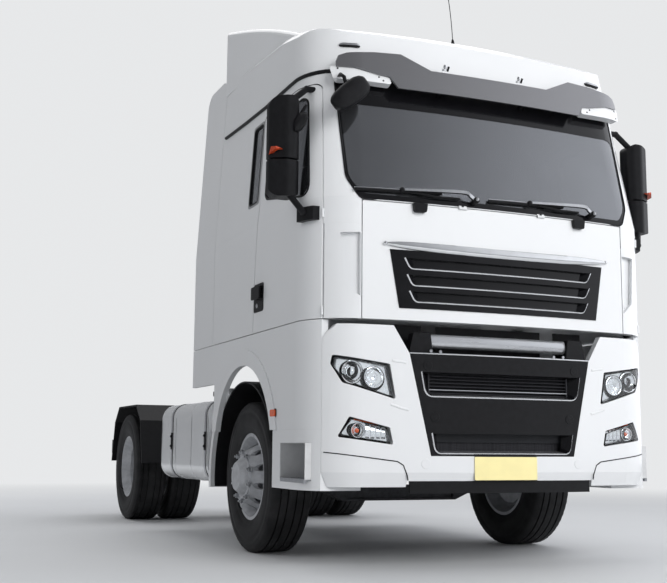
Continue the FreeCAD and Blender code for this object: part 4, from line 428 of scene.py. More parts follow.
def ribbon(shape, side, line, width, lift, wall, paint=0, step=0.05):  # strip along a line drawn on the cab form
    run = divided([Vector(p) for p in line], step)
    rows = []
    for index, here in enumerate(run):
        along = (run[min(index + 1, len(run) - 1)] - run[max(index - 1, 0)]).normalized()
        across = Vector((-along.y, along.x)) * width / 2
        rows.append([onForm(side, *(here + across * end), level)
                     for end, level in ((-1, lift), (1, lift), (1, lift - wall), (-1, lift - wall))])
    shape.bar(rows, paint)


def rail(shape, side, runs, bulge, lift=0.0, paint=0, steps=6):  # half-round strip; runs hold (across, low, high)
    rows = []
    for across, low, high in runs:
        turns = [math.pi * k / steps for k in range(steps + 1)]
        rows.append([onForm(side, across, between(low, high, (1 - math.cos(t)) / 2), lift + bulge * math.sin(t))
                     for t in turns])
    shape.bar(rows, paint)


def disc(shape, side, across, height, radius, lift, wall, paint=0, steps=28):
    rounding = min(wall, radius) * 0.3
    profile = [(lift - wall, 0), (lift - wall, radius), (lift - rounding, radius), (lift, radius - rounding),
               (lift, 0)]
    shape.turned(profile, onForm(side, across, height), formNormal(side, across, height), paint, steps)


def hexNut(shape, spot, out, radius, rise, paint=0, stud=True):
    shape.turned([(0, 0), (0, radius * 1.35), (0.0035, radius * 1.3), (0.0035, 0)], spot, out, paint, 18)
    shape.turned([(0.003, 0), (0.003, radius), (rise - 0.002, radius), (rise, radius * 0.86), (rise, 0)], spot, out,
                 paint, 6)
    if stud:
        shape.turned([(rise - 0.002, 0), (rise - 0.002, radius * 0.52), (rise + 0.011, radius * 0.5),
                      (rise + 0.013, 0)], spot, out, paint, 12)


trees = {}


def touch(label, start, way):  # first point of a node along a line, and the face's direction there
    if label not in trees:
        mesh = nodes[label].data
        trees[label] = BVHTree.FromPolygons([v.co for v in mesh.vertices], [p.vertices for p in mesh.polygons])
    spot, normal, index, distance = trees[label].ray_cast(Vector(start), Vector(way))
    return spot, normal


# Windscreen: black border with the deep band under the visor, and a rubber seal
screenTrim = {"half": 1.046, "low": 2.209, "top": 3.036, "cornerLow": 0.965, "corner": 0.05, "paneHalf": 1.031,
              "paneLow": 2.242, "paneTop": 2.842, "paneCornerLow": 0.946, "paneCorner": 0.06, "lift": 0.0022,
              "wall": 0.002, "seal": 0.006}


def screenLoop(half, low, top, corner, radius):
    points = symmetric([(corner, low), (half * 0.992, between(low, top, 0.16)), (half, top)])
    return rounded(points, [radius, radius * 2.6, radius, radius, radius * 2.6, radius])


def makeScreenTrim():
    shape, trim = Shape(), screenTrim
    outer = screenLoop(trim["half"], trim["low"], trim["top"], trim["cornerLow"], trim["corner"])
    inner = screenLoop(trim["paneHalf"], trim["paneLow"], trim["paneTop"], trim["paneCornerLow"],
                       trim["paneCorner"])
    patch(shape, "front", outer, trim["lift"], trim["wall"], holes=[inner], step=0.08)
    shape.tube([onForm("front", *p, trim["seal"] * 0.4) for p in outer], trim["seal"], sides=8, closed=True)
    shape.piece("screenBorder", "cab", glossBlack, "gloss_black")


# Sun visor: white corner plates with screws, and holders on the upper edge
visorSet = {"plate": [(0.706, 2.962), (1.046, 2.972), (1.056, 3.064), (0.940, 3.056), (0.800, 3.022),
                      (0.728, 3.012)],
            "corners": [0.02, 0.03, 0.015, 0.06, 0.05, 0.03], "lift": 0.078, "wall": 0.05, "screw": 0.006,
            "screws": [(0.765, 2.982), (0.792, 3.004), (1.022, 2.990), (1.020, 3.046)],
            "holders": [(-0.333, 3.118), (0.216, 3.118)], "holderLift": 0.084}


def makeVisorTrim():
    plates, screws, holders = Shape(), Shape(), Shape()
    for sign in (1, -1):
        outline = rounded(flipped(visorSet["plate"], sign), visorSet["corners"])
        patch(plates, "front", outline, visorSet["lift"], visorSet["wall"])
        for x, z in visorSet["screws"]:
            disc(screws, "front", sign * x, z, visorSet["screw"], visorSet["lift"] + 0.0022, 0.004, steps=12)
    for x, z in visorSet["holders"]:
        foot = onForm("front", x, z, visorSet["holderLift"])
        holders.turned([(-0.012, 0), (-0.012, 0.016), (0.004, 0.018), (0.010, 0.011), (0.022, 0.012), (0.030, 0.008),
                        (0.031, 0)], foot, (0, -0.35, 1), steps=18)
        holders.tube([foot + Vector((0.024, 0.004, -0.008)), foot + Vector((0.026, -0.012, 0.020))], 0.007, 1)
    plates.piece("visorCornerPlates", "cab", whitePaint, "white_paint", bevel=0.004)
    screws.piece("visorScrews", "cab", darkPlastic, "dark_plastic")
    holders.piece("visorHolders", "cab", [chrome, darkPlastic], "dark_plastic")


# Roof marker lamps: black housing with a bright lens
roofLampSet = {"across": 0.933, "half": 0.058, "high": 3.262, "rise": 0.030, "stand": 0.022,
               "shares": ((-1.12, 0.45), (-1, 0.8), (-0.7, 1), (0.7, 1), (1, 0.8), (1.12, 0.45))}


def makeRoofLamps():
    shape = Shape()
    for sign in (1, -1):
        rows = []
        for x, share in roofLampSet["shares"]:
            across = sign * roofLampSet["across"] + x * roofLampSet["half"]
            spot, normal = touch("roof", at(across, -3, roofLampSet["high"]), (0, 1, 0))
            up = (Vector((0, 0, 1)) - normal * normal.z).normalized() * roofLampSet["rise"] / 2 * share
            out = normal * roofLampSet["stand"] * share
            sunk = normal * 0.004
            rows.append([spot - up - sunk, spot - up + out * 0.7, spot - up * 0.55 + out,
                         spot + up * 0.6 + out * 0.85, spot + up + out * 0.3, spot + up - sunk])
        shape.grid(list(zip(*rows)), [0, 0, 1, 1, 0])
        shape.ends(rows)
    shape.piece("roofMarkerLamps", "cab", [darkPlastic, silver], "dark_plastic")


# Upper grille: bright crescent above it and scooped slots with bright lips; slots hold (low, low half, top half,
# rise, bend)
grilleSet = {"slots": [(1.5894, 0.6176, 0.6537, 0.0676, 0.047), (1.689, 0.632, 0.669, 0.0676, 0.047),
                       (1.7912, 0.6466, 0.6844, 0.0676, 0.047)],
             "outLift": 0.0052, "inLift": -0.0255, "scoop": 0.060, "lip": 0.017,
             "crescent": [(0, 1.897, 1.958), (0.2, 1.898, 1.960), (0.45, 1.903, 1.963), (0.62, 1.911, 1.963),
                          (0.72, 1.918, 1.960), (0.775, 1.926, 1.955), (0.797, 1.931, 1.951)],
             "end": (0.806, 1.942, 0.013)}


def makeScoops(name, body, table):
    shape = Shape()
    for low, lowHalf, topHalf, rise, bend in table["slots"]:
        half = rounded([(topHalf, low + rise), (lowHalf, low), (0, low)], [0, bend, 0], steps=8)
        run = divided(half + [Vector((-p.x, p.y)) for p in reversed(half[:-1])], 0.06)
        outer, lips, steeps = [], [], []
        for p in run:
            steep = min(1, max(0, (abs(p.x) - (lowHalf - bend)) / (bend * 1.6)))
            across = -math.copysign(table["scoop"] * steep, p.x)
            up = table["lip"] * (1 - steep * 0.35)
            outer.append(onForm("front", *p, table["outLift"]))
            lips.append((onForm("front", p.x + across * 0.12, p.y + up * 0.35, table["outLift"] + 0.004),
                         onForm("front", p.x + across, p.y + up, table["inLift"])))
            steeps.append(steep)
        shape.grid([outer, [crest for crest, inner in lips]])
        shape.grid(lips, [1 if a + b > 0.5 else 0 for a, b in zip(steeps, steeps[1:])])  # the ends are black
    shape.piece(name, body, [lipSilver, glossBlack], "gloss_black", angle=50)


def makeUpperGrilleTrim():
    makeScoops("upperGrilleLips", "front_flap", grilleSet)
    crescent = Shape()
    half = grilleSet["crescent"]
    rail(crescent, "front", [(-x, a, b) for x, a, b in reversed(half[1:])] + half, 0.017, 0.001, steps=10)
    x, z, radius = grilleSet["end"]
    for spot in (-x, x):
        crescent.turned([(-0.004, 0), (-0.004, radius), (0.010, radius), (0.016, radius * 0.72), (0.018, 0)],
                        onForm("front", spot, z), formNormal("front", spot, z), steps=20)
    crescent.piece("grilleCrescent", "front_flap", chrome, "gloss_black", angle=60)


# Lower grille: bright line and lips, fins behind the upper slot, round covers and the blank plate
lowerSet = {"slots": [(1.022, 0.5472, 0.575, 0.150, 0.0675), (0.684, 0.485, 0.5075, 0.122, 0.0549)],
            "outLift": -0.0006, "inLift": -0.052, "scoop": 0.062, "lip": 0.020, "line": (0.648, 1.2795, 1.2885),
            "fins": (1.046, 1.150), "finCount": 6, "finHalf": 0.50, "finStation": -1.395, "wall": 0.006,
            "shadeBacks": [(0.57, 0.996, 1.190), (0.53, 0.665, 0.830)], "covers": [(0.528, 1.212), (0.483, 0.904)],
            "paleCover": (0.544, 0.626), "cover": 0.030}
plateSet = {"half": 0.222, "low": 0.529, "high": 0.669, "lift": 0.006, "wall": 0.004, "corner": 0.008}


def makeLowerGrilleTrim():
    makeScoops("lowerGrilleLips", "chassis", lowerSet)
    line, fins, covers, pale, plate, holder = (Shape() for k in range(6))
    half, low, high = lowerSet["line"]
    rail(line, "front", [(between(-half, half, k / 16), low, high) for k in range(17)], 0.004, 0.0, steps=4)
    line.piece("lowerGrilleLine", "chassis", chrome, "silver_bar", angle=60)

    low, high = lowerSet["fins"]
    half, station, wall = lowerSet["finHalf"], lowerSet["finStation"], lowerSet["wall"]
    for k in range(lowerSet["finCount"]):
        z = between(low, high, k / (lowerSet["finCount"] - 1))
        bright, depth = (1, 0.030) if k == 1 else (0, 0.022)
        fins.bar([[at(x, station - depth, z), at(x, station - depth, z + wall), at(x, station, z + 0.010),
                   at(x, station, z - 0.004)] for x in (-half, half)], bright)
    for x in (-half, half):
        fins.box(at(x - wall, station - 0.028, low - 0.014), at(x + wall, station + wall, high + 0.014))
    for wide, low, high in lowerSet["shadeBacks"]:  # dark panels of painted shade stand in for the shadow behind the slots and close the view through them
        fins.box(at(-wide, station + 0.012, low), at(wide, station + 0.016, high))
    # one piece holds the fins and the painted-shade panels behind them
    fins.piece("coolerFinsAndShadeBacks", "chassis", [finMetal, silver], "radiator_core", bevel=0.0012)

    radius = lowerSet["cover"]
    for sign in (1, -1):
        for x, z in lowerSet["covers"]:
            disc(covers, "front", sign * x, z, radius, 0.0012, 0.004)
            disc(covers, "front", sign * x, z, radius * 0.42, 0.0022, 0.004, steps=16)
        disc(pale, "front", sign * lowerSet["paleCover"][0], lowerSet["paleCover"][1], radius, 0.0018, 0.004)
    covers.piece("grilleCovers", "chassis", darkPlastic, "gloss_black")
    pale.piece("bumperCovers", "chassis", whitePaint, "white_paint")

    half, low, high = plateSet["half"], plateSet["low"], plateSet["high"]
    patch(plate, "front", panel(-half, half, low, high, plateSet["corner"]), plateSet["lift"], plateSet["wall"])
    plate.piece("blankPlate", "chassis", plateYellow, "tread_plate", bevel=0.001)
    for z in (low - 0.006, high + 0.001):
        rail(holder, "front", [(half * k / 2, z, z + 0.006) for k in range(-2, 3)], 0.008)
    holder.piece("plateHolder", "chassis", darkPlastic, "dark_plastic")


# Lamps: bright mask, bowls with bulbs, clear cover; corners, bowls and strips are shares of the lamp's box
headlampSet = {"box": (0.736, 1.004, 1.123, 1.262), "rounding": [0.012, 0.032, 0.032, 0.012, 0.012],
               "corners": [(0, 0), (0.842, 0.36), (1, 0.787), (0.977, 1), (0.098, 0.814)],
               "bowls": [(0.352, 0.50, 0.245, 1, 32), (0.716, 0.61, 0.262, 1, 24)],
               "strip": [(0.16, 0.79), (0.5, 0.86), (0.93, 0.925)], "stripSides": (0.005, 0.006),
               "stripBulge": 0.010, "stripPaint": 3, "ribs": 0}
fogLampSet = {"box": (0.752, 0.737, 1.087, 0.900), "rounding": 0.012,
              "corners": [(0, 0), (1, 0.264), (0.806, 1), (0.066, 0.62)], "bowls": [(0.66, 0.50, 0.26, 2, 32)],
              "strip": [(0.14, 0.71), (0.72, 0.90)], "stripSides": (0.006, 0.004), "stripBulge": 0.012,
              "stripPaint": 2, "ribs": 4}
bowlSet = {"lift": -0.0375, "dent": 0.955, "bulbs": {1: 0.2, 2: 0.34},
           "profile": ((0.0005, 0.30), (0.005, 0.62), (0.013, 0.83), (0.0225, 0.935), (0.0245, 0.97),
                       (0.0235, 1.01), (0.018, 1.015))}


def inLamp(lamp, a, b):
    inner, low, outer, top = lamp["box"]
    return between(inner, outer, a), between(low, top, b)


def lampEdge(lamp, gap):  # the lamp's outline, drawn in by a gap
    corners = [inLamp(lamp, a, b) for a, b in lamp["corners"]]
    middles = [(min(values) + max(values)) / 2 for values in zip(*corners)]
    drawnIn = [[v - math.copysign(gap, v - middle) for v, middle in zip(corner, middles)] for corner in corners]
    return rounded(drawnIn, lamp["rounding"])


def lampBowl(shape, x, z, radius, bulbPaint, facets):
    foot, axis = onForm("front", x, z, bowlSet["lift"]), Vector((0, -1, 0))
    rows = []
    for step, (c, s) in enumerate(circle(facets * 2)):
        dent = bowlSet["dent"] if step % 2 else 1.0
        rows.append([foot + axis * a + Vector((c, 0, s)) * radius * r * (dent if k < 4 else 1)
                     for k, (a, r) in enumerate(bowlSet["profile"])])
    shape.grid(rows, closed=True)
    bulb = radius * bowlSet["bulbs"][bulbPaint]
    for profile, paint, steps in (
            ([(0.0215, radius * 1.015), (0.0215, radius * 1.075), (0.017, radius * 1.08)], 3, 36),
            ([(0.0, 0.0), (0.0, bulb), (0.010, bulb * 0.95), (0.017, bulb * 0.65), (0.020, 0)], bulbPaint, 16),
            ([(0.012, radius * 0.44), (0.0145, radius * 0.45), (0.0145, radius * 0.49), (0.012, radius * 0.5)], 0,
             28)):
        shape.turned(profile, foot, axis, paint, steps)


def makeLamps():
    bowls, masks, covers = Shape(), Shape(), Shape()
    for lamp in (headlampSet, fogLampSet):
        edge, cover = lampEdge(lamp, 0.0165), lampEdge(lamp, 0.010)
        high = lamp["box"][3] - lamp["box"][1]
        below, above = lamp["stripSides"]
        for sign in (1, -1):
            patch(masks, "front", flipped(edge, sign), -0.0325, 0.001)
            masks.grid([[onForm("front", sign * x, z, -0.004) for x, z in edge],
                        [onForm("front", sign * x * 0.9995, z, -0.0325) for x, z in edge]], 1, around=True)
            patch(covers, "front", flipped(cover, sign), -0.0002, 0.0016, step=0.05)
            for a, b, r, bulbPaint, facets in lamp["bowls"]:
                x, z = inLamp(lamp, a, b)
                lampBowl(bowls, sign * x, z, r * high, bulbPaint, facets)
            for k in range(lamp["ribs"]):
                x, z = inLamp(lamp, 0.12 + 0.1 * k, 0.62 + 0.036 * k)
                low = lamp["box"][1] + 0.034
                rail(masks, "front", [(sign * (x + 0.002), low, z), (sign * (x + 0.026), low + 0.002, z + 0.003)],
                     0.010, -0.032, 0, 4)
            strip = [inLamp(lamp, a, b) for a, b in lamp["strip"]]
            rail(masks, "front", [(sign * x, z - below, z + above) for x, z in strip], lamp["stripBulge"], -0.030,
                 lamp["stripPaint"], 4)
    masks.piece("lampMasks", "chassis", [lampChrome, glossBlack, orangeLens, lensGlass], "lamp_glass", angle=40)
    bowls.piece("lampBowls", "chassis", [lampChrome, lensGlass, orangeLens, glossBlack], "lamp_glass", angle=12)
    covers.piece("lampCovers", "chassis", lensGlass, "lamp_glass")


# Wipers: rubber blade on a black carrier, bright arm, pivot with its cover on the flap
wiperSet = {"pivot": (-0.206, 2.242), "elbow": (-0.292, 2.281), "carry": (-0.700, 2.270), "shift": 0.897,
            "blade": [(-1.000, 2.262), (-0.85, 2.266), (-0.70, 2.269), (-0.55, 2.274), (-0.43, 2.279)],
            "wide": 0.017, "taper": 0.009, "covers": (-0.582, 0.580),
            "cover": [(-0.040, 2.146), (0.040, 2.146), (0.046, 2.202), (-0.046, 2.202)]}


def makeWipers():
    shape, cover = Shape(), Shape()
    out = Vector((0, -1, 0.2)).normalized()
    for shift in (0.0, wiperSet["shift"]):
        blade = [(x + shift, z) for x, z in wiperSet["blade"]]
        (px, pz), (ex, ez), (cx, cz) = ((wiperSet[k][0] + shift, wiperSet[k][1])
                                        for k in ("pivot", "elbow", "carry"))
        ribbon(shape, "front", blade, 0.008, 0.012, 0.014)
        rail(shape, "front", [(x, z - 0.012, z + 0.006) for x, z in blade], 0.014, 0.011)
        ribbon(shape, "front", [(x, z + 0.009) for x, z in blade[:3]], 0.004, 0.020, 0.005, 1)
        run = smoothRun([onForm("front", px, pz, 0.030),
                         onForm("front", between(px, ex, 0.5), between(pz, ez, 0.55), 0.048),
                         onForm("front", ex, ez, 0.052),
                         onForm("front", between(ex, cx, 0.45), between(ez, cz, 0.45), 0.046),
                         onForm("front", cx, cz, 0.034)], 6)
        last = len(run) - 1
        for index, (a, b) in enumerate(zip(run, run[1:])):
            along = (b - a).normalized()
            up = -Vector((0, 0, 1)).cross(along).cross(along)
            rows = []
            for p, step in ((a, index), (b, index + 1)):
                side = up * (wiperSet["wide"] - wiperSet["taper"] * step / last)
                rows.append([p - side, p - side * 0.8 + out * 0.006, p + side * 0.8 + out * 0.006, p + side,
                             p + side * 0.9 - out * 0.007, p - side * 0.9 - out * 0.007])
            shape.grid(list(zip(*rows)) + [(rows[0][0], rows[1][0])], [0, 1, 0, 0, 0, 0])
        disc(shape, "front", px, pz, 0.020, 0.052, 0.05, 0, 24)
        disc(shape, "front", px, pz, 0.012, 0.060, 0.01, 1, 6)
        disc(shape, "front", cx, cz, 0.016, 0.042, 0.022, 0, 16)
        shape.tube([onForm("front", ex - x, ez - z, lift) for x, z, lift in
                    ((0.02, 0.030, 0.020), (0.18, 0.034, 0.024), (0.34, 0.018, 0.022))], 0.007, 0, 8)
    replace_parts(shape.piece("wiperArms", "cab", [darkPlastic, silver], "dark_plastic", angle=50), "wipers")
    for middle in wiperSet["covers"]:
        outline = rounded([(middle + x, z) for x, z in wiperSet["cover"]], [0.018, 0.018, 0, 0])
        patch(cover, "front", outline, 0.028, 0.027, step=0.03)
    cover.piece("pivotCovers", "front_flap", darkPlastic, "dark_plastic", bevel=0.008, segments=3)


makeScreenTrim()
makeVisorTrim()
makeRoofLamps()
makeUpperGrilleTrim()
makeLowerGrilleTrim()
makeLamps()
makeWipers()
print("front trimmed")

# Tyres with grooves and notched ribs, wheel nuts and a valve
tyreSet = {"radius": 0.515, "half": 0.149, "bead": 0.3045, "beadHalf": 0.1315, "groove": 0.012, "depth": 0.013,
           "steps": 120}
wheelSets = {"front": {"body": "wheel_front", "rim": "rim_front", "tyre": "tyre_front", "station": 0.0,
                       "places": (1.020,), "grooves": (0.082, 0.030)},
             "rear": {"body": "wheels_rear", "rim": "rims_rear", "tyre": "tyres_rear", "station": 3.6,
                      "places": (0.743, 1.093), "grooves": (0.088, 0.036)}}
nutSet = {"circle": 0.1675, "radius": 0.0165, "rise": 0.024, "count": 10, "valve": (0.174, -0.232)}
hubHeight = 0.515


def tyreProfile(kind, step):
    radius, half, bead, beadHalf = (tyreSet[k] for k in ("radius", "half", "bead", "beadHalf"))
    wide, deep = tyreSet["groove"] / 2, tyreSet["depth"]
    notch, rear = step % 2 == 0, kind == "rear"
    right = [(beadHalf - 0.004, bead - 0.006), (beadHalf, bead + 0.004), (beadHalf + 0.006, 0.322),
             (beadHalf + 0.0065, 0.334), (beadHalf + 0.011, 0.340), (half - 0.0012, 0.378), (half, 0.410),
             (half - 0.0005, 0.424), (half - 0.002, 0.428), (half - 0.003, 0.452), (half - 0.0015, 0.455),
             (half - 0.004, 0.470), (half - 0.007, 0.480), (half - 0.008, 0.493),
             (0.136, radius - (0.016 if notch else 0.013)), (0.118 if notch else 0.122, radius - 0.002)]
    low = radius - (0.009 if notch and rear else 0.001 if notch else 0)
    for middle in wheelSets[kind]["grooves"]:
        right += [(middle + wide, low), (middle + wide * 0.6, radius - deep), (middle - wide * 0.6, radius - deep),
                  (middle - wide, radius - (0.008 if step % 4 == 1 and rear else 0))]
    return flipped(right, -1) + right[::-1]


def makeWheels():
    steps = tyreSet["steps"]
    for side, sign in sides:
        for kind, wheel in wheelSets.items():
            tyre, dress = Shape(), Shape()
            body, rim, way = f"{wheel['body']}_{side}", f"{wheel['rim']}_{side}", (-sign, 0, 0)
            for place in wheel["places"]:
                centre = at(sign * place, wheel["station"], hubHeight)
                tyre.grid([[centre + Vector((a, c * r, s * r)) for a, r in tyreProfile(kind, step)]
                           for step, (c, s) in enumerate(circle(steps))], closed=True)
            made = tyre.piece(f"tread_{kind}_{side}", body, tyreRubber, "tyre_rubber", angle=38)
            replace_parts(made, f"{wheel['tyre']}_{side}")
            for k in range(nutSet["count"]):
                angle = 2 * math.pi * (k + 0.5) / nutSet["count"]
                spot, normal = touch(rim, at(sign * 2, wheel["station"] + nutSet["circle"] * math.cos(angle),
                                             hubHeight + nutSet["circle"] * math.sin(angle)), way)
                if spot:
                    hexNut(dress, spot, (sign, 0, 0), nutSet["radius"], nutSet["rise"])
            back, up = nutSet["valve"]
            spot, normal = touch(rim, at(sign * 2, wheel["station"] + back, hubHeight + up), way)
            if spot:
                dress.tube([spot, spot + Vector((sign * 0.022, -0.01, 0.014)),
                            spot + Vector((sign * 0.040, -0.03, 0.04))], 0.0045, 1, 10)
            dress.piece(f"wheelNuts_{kind}_{side}", body, [silver, darkPlastic], "steel_wheel", angle=40)


# Mirrors: glass, gaskets and indicator; the kerb mirror and its arm on the right
mirrorSet = {"inner": 1.255, "outer": 1.445, "rear": -1.065, "panes": [(2.290, 2.462), (2.486, 2.843)],
             "glassInset": 0.014, "corner": 0.022, "lamp": 2.526, "kerb": (1.262, -1.165, 2.735),
             "kerbShares": ((0, 0.25), (0.12, 0.7), (0.35, 1), (0.7, 1), (0.92, 0.82), (1, 0.4))}


def makeMirrors():
    inner, outer, rear, z = (mirrorSet[k] for k in ("inner", "outer", "rear", "lamp"))
    inset = mirrorSet["glassInset"]
    for side, sign in sides:
        glass, trim = Shape(), Shape()
        for low, high in mirrorSet["panes"]:
            outline = panel(inner + inset, outer - inset, low, high, mirrorSet["corner"])
            for shape, lift, grow in ((glass, 0.0035, 0), (trim, 0.0015, 0.006)):
                ring = [(p.x + math.copysign(grow, p.x - (inner + outer) / 2),
                         p.y + math.copysign(grow, p.y - (low + high) / 2)) for p in outline]
                face = [at(sign * a, rear + lift, b) for a, b in ring]
                shape.add(face, [tuple(range(len(face)))])
                shape.grid([face, [at(sign * a, rear - 0.002, b) for a, b in ring]], around=True)
        indicator = [(outer + 0.0016, -1.128, z - 0.026), (outer + 0.0016, -1.170, z - 0.020),
                     (outer - 0.020, -1.1965, z - 0.004), (outer - 0.055, -1.1975, z + 0.004),
                     (outer - 0.022, -1.1965, z + 0.014), (outer + 0.0016, -1.165, z + 0.016)]
        lens = [at(sign * a, b, c) for a, b, c in indicator]
        trim.add(lens, [(0, 1, 2, 5), (5, 2, 4), (4, 2, 3)], 1)
        trim.grid([lens, [at(sign * (a - 0.02), b + 0.02, c) for a, b, c in indicator]], 1, around=True)
        if side == "right":
            kx, ky, kz = mirrorSet["kerb"]
            trim.bar([[at(sign * (kx - 0.05 + 0.1 * t), ky + 0.055 * share * c,
                          kz - 0.075 * t + 0.02 + 0.060 * share * s) for c, s in circle(14)]
                      for t, share in mirrorSet["kerbShares"]])
            trim.tube([at(sign * 1.215, ky + 0.01, kz + 0.10), at(sign * 1.235, ky, kz + 0.07),
                       at(sign * kx, ky, kz + 0.02)], 0.011, 0, 10)
        trim.piece(f"mirrorTrim_{side}", f"door_{side}", [darkPlastic, amberLens], "dark_plastic", angle=45)
        glass.piece(f"mirrorPanes_{side}", f"door_{side}", mirrorGlass, "silver_bar", bevel=0.001)


# Doors: handle in its recess, window seals, quarter window frame, drip rail
doorSet = {"window": [(-1.232, 2.236), (-1.0899, 2.915), (-0.470, 2.915), (-0.470, 2.378)], "windowCorner": 0.07,
           "quarter": [(-0.318, 2.396), (-0.3341, 2.950), (-0.1481, 2.950), (-0.132, 2.396)],
           "quarterCorner": 0.035, "seal": 0.0085, "handle": (-0.500, -0.306, 1.616, 1.809),
           "gutter": [(-1.250, 3.066), (-1.16, 3.076), (-0.95, 3.070), (-0.361, 3.062), (0.1, 3.072),
                      (0.577, 3.090)]}


def makeDoors():
    for side in ("right", "left"):
        seal, quarter, handle, gutter = (Shape() for k in range(4))
        door = f"door_{side}"
        window = rounded(doorSet["window"], doorSet["windowCorner"], 7)
        small = rounded(doorSet["quarter"], doorSet["quarterCorner"], 7)
        for shape, outline in ((seal, window), (quarter, small)):
            shape.tube([onForm(side, *p, -0.003) for p in outline], doorSet["seal"], 0, 8, closed=True)
        midY, midZ = (sum(values) / len(small) for values in zip(*small))
        wide = [(p.x + math.copysign(0.022, p.x - midY), p.y + math.copysign(0.020, p.y - midZ)) for p in small]
        patch(quarter, side, wide, 0.0025, 0.004, 1, holes=[small], step=0.1)
        quarter.piece(f"quarterFrame_{side}", "cab", [darkPlastic, greyTrim], "dark_plastic")
        seal.piece(f"windowSeal_{side}", door, darkPlastic, "dark_plastic")

        front, rear, low, high = doorSet["handle"]
        patch(handle, side, panel(front, rear, low, high, 0.022), 0.0025, 0.003, step=0.1)
        patch(handle, side, panel(front + 0.016, rear - 0.014, low + 0.085, high - 0.022, 0.014), 0.030, 0.012,
              step=0.1)
        for edge in (low + 0.092, high - 0.036):
            patch(handle, side, panel(front + 0.03, rear - 0.03, edge, edge + 0.014, 0), 0.020, 0.022, step=0.1)
        disc(handle, side, (front + rear) / 2 + 0.03, low + 0.045, 0.016, 0.006, 0.006, 1, 20)
        handle.piece(f"doorHandle_{side}", door, [darkPlastic, silver], "dark_plastic", bevel=0.004)

        runs = [Vector((station, z - 0.013, z + 0.013)) for station, z in doorSet["gutter"]]
        dense = [a.lerp(b, k / 5) for a, b in zip(runs, runs[1:]) for k in range(5)] + [runs[-1]]
        rail(gutter, side, dense, 0.016, 0.001, steps=5)
        gutter.piece(f"dripRail_{side}", "cab", darkPlastic, "dark_plastic")


# Steps in their recess, and side markers
stepSet = {"recess": (-1.270, -0.860, 0.523, 0.745), "out": 1.245, "back": 1.055, "wall": 0.0022, "ribs": 3,
           "studs": (12, 4), "marker": (-0.735, 0.932), "markerHalf": (0.045, 0.022)}


def makeSteps():
    treads, liner, marks = Shape(), Shape(), Shape()
    front, rear, low, high = stepSet["recess"]
    out, back, wall = stepSet["out"], stepSet["back"], stepSet["wall"]
    across, along = stepSet["studs"][::-1]
    for side, sign in sides:
        inner, outer = sign * (back + 0.004), sign * (out - 0.002)
        treads.box(at(inner, front + 0.008, low + 0.0005), at(outer, rear - 0.008, low + 0.006))
        for k in range(along):
            for m in range(across):
                spot = at(between(inner, outer, (m + 0.5) / across),
                          between(front + 0.025, rear - 0.025, k / (along - 1)), low)
                treads.turned([(0.0055, 0.0), (0.0055, 0.009), (0.0095, 0.007), (0.0095, 0.0045), (0.0055, 0.004)],
                              spot, (0, 0, 1), 0, 8)
        treads.box(at(sign * (out + 0.0008), front + 0.006, low - 0.014),
                   at(sign * (out - 0.0192), rear - 0.006, low + 0.010))
        liner.box(at(sign * (back + 0.0006), front + 0.001, low + 0.001),
                  at(sign * (back + 0.0006 + wall), rear - 0.001, high - 0.001))
        for k in range(stepSet["ribs"]):
            z = low + 0.055 + 0.055 * k
            liner.box(at(sign * (back + 0.002), front + 0.03, z), at(sign * (back + 0.010), rear - 0.03, z + 0.012))
        near, far = sign * (back + 0.003), sign * (out - 0.004)
        for y in (front + 0.0006, rear - 0.0006 - wall):
            liner.box(at(near, y, low + 0.007), at(far, y + wall, high - 0.001))
        liner.box(at(near, front + 0.003, high - 0.0006 - wall), at(far, rear - 0.003, high - 0.0006))
        (station, z), (half, rise) = stepSet["marker"], stepSet["markerHalf"]
        lens = panel(station - half, station + half, z - rise, z + rise, 0.016)
        patch(marks, side, lens, 0.012, 0.010, 0, step=0.1)
        frame = [(station + (p.x - station) * 1.16, z + (p.y - z) * 1.28) for p in lens]
        patch(marks, side, frame, 0.0045, 0.004, 1, step=0.1)
    treads.piece("stepTreads", "chassis", treadMetal, "tread_plate", bevel=0.0012)
    liner.piece("stepLiner", "chassis", stepGrey, "dark_plastic", bevel=0.0008)
    marks.piece("sideMarkers", "chassis", [orangeLens, darkPlastic], "dark_plastic", bevel=0.003)


# Fuel tank: straps, end beads, filler cap
tankSet = {"low": 0.450, "top": 1.072, "in": 0.520, "out": 1.240, "corner": 0.120, "straps": (0.80, 1.80),
           "strap": 0.050, "beads": (0.736, 1.200, 1.680, 2.144), "cap": (-0.98, 1.18)}


def tankLoop(grow, station):
    reach = tankSet["corner"] + grow
    middleX, middleZ = (tankSet["in"] + tankSet["out"]) / 2, (tankSet["low"] + tankSet["top"]) / 2
    halfX, halfZ = (tankSet["out"] - tankSet["in"]) / 2 + grow, (tankSet["top"] - tankSet["low"]) / 2 + grow
    loop = []
    for quarter, (signX, signZ) in enumerate(((-1, -1), (1, -1), (1, 1), (-1, 1))):
        centreX, centreZ = middleX + signX * (halfX - reach), middleZ + signZ * (halfZ - reach)
        for k in range(9):
            turn = math.pi / 2 * (quarter + 2 + k / 8)
            loop.append(at(-centreX - reach * math.cos(turn), station, centreZ + reach * math.sin(turn)))
    return loop


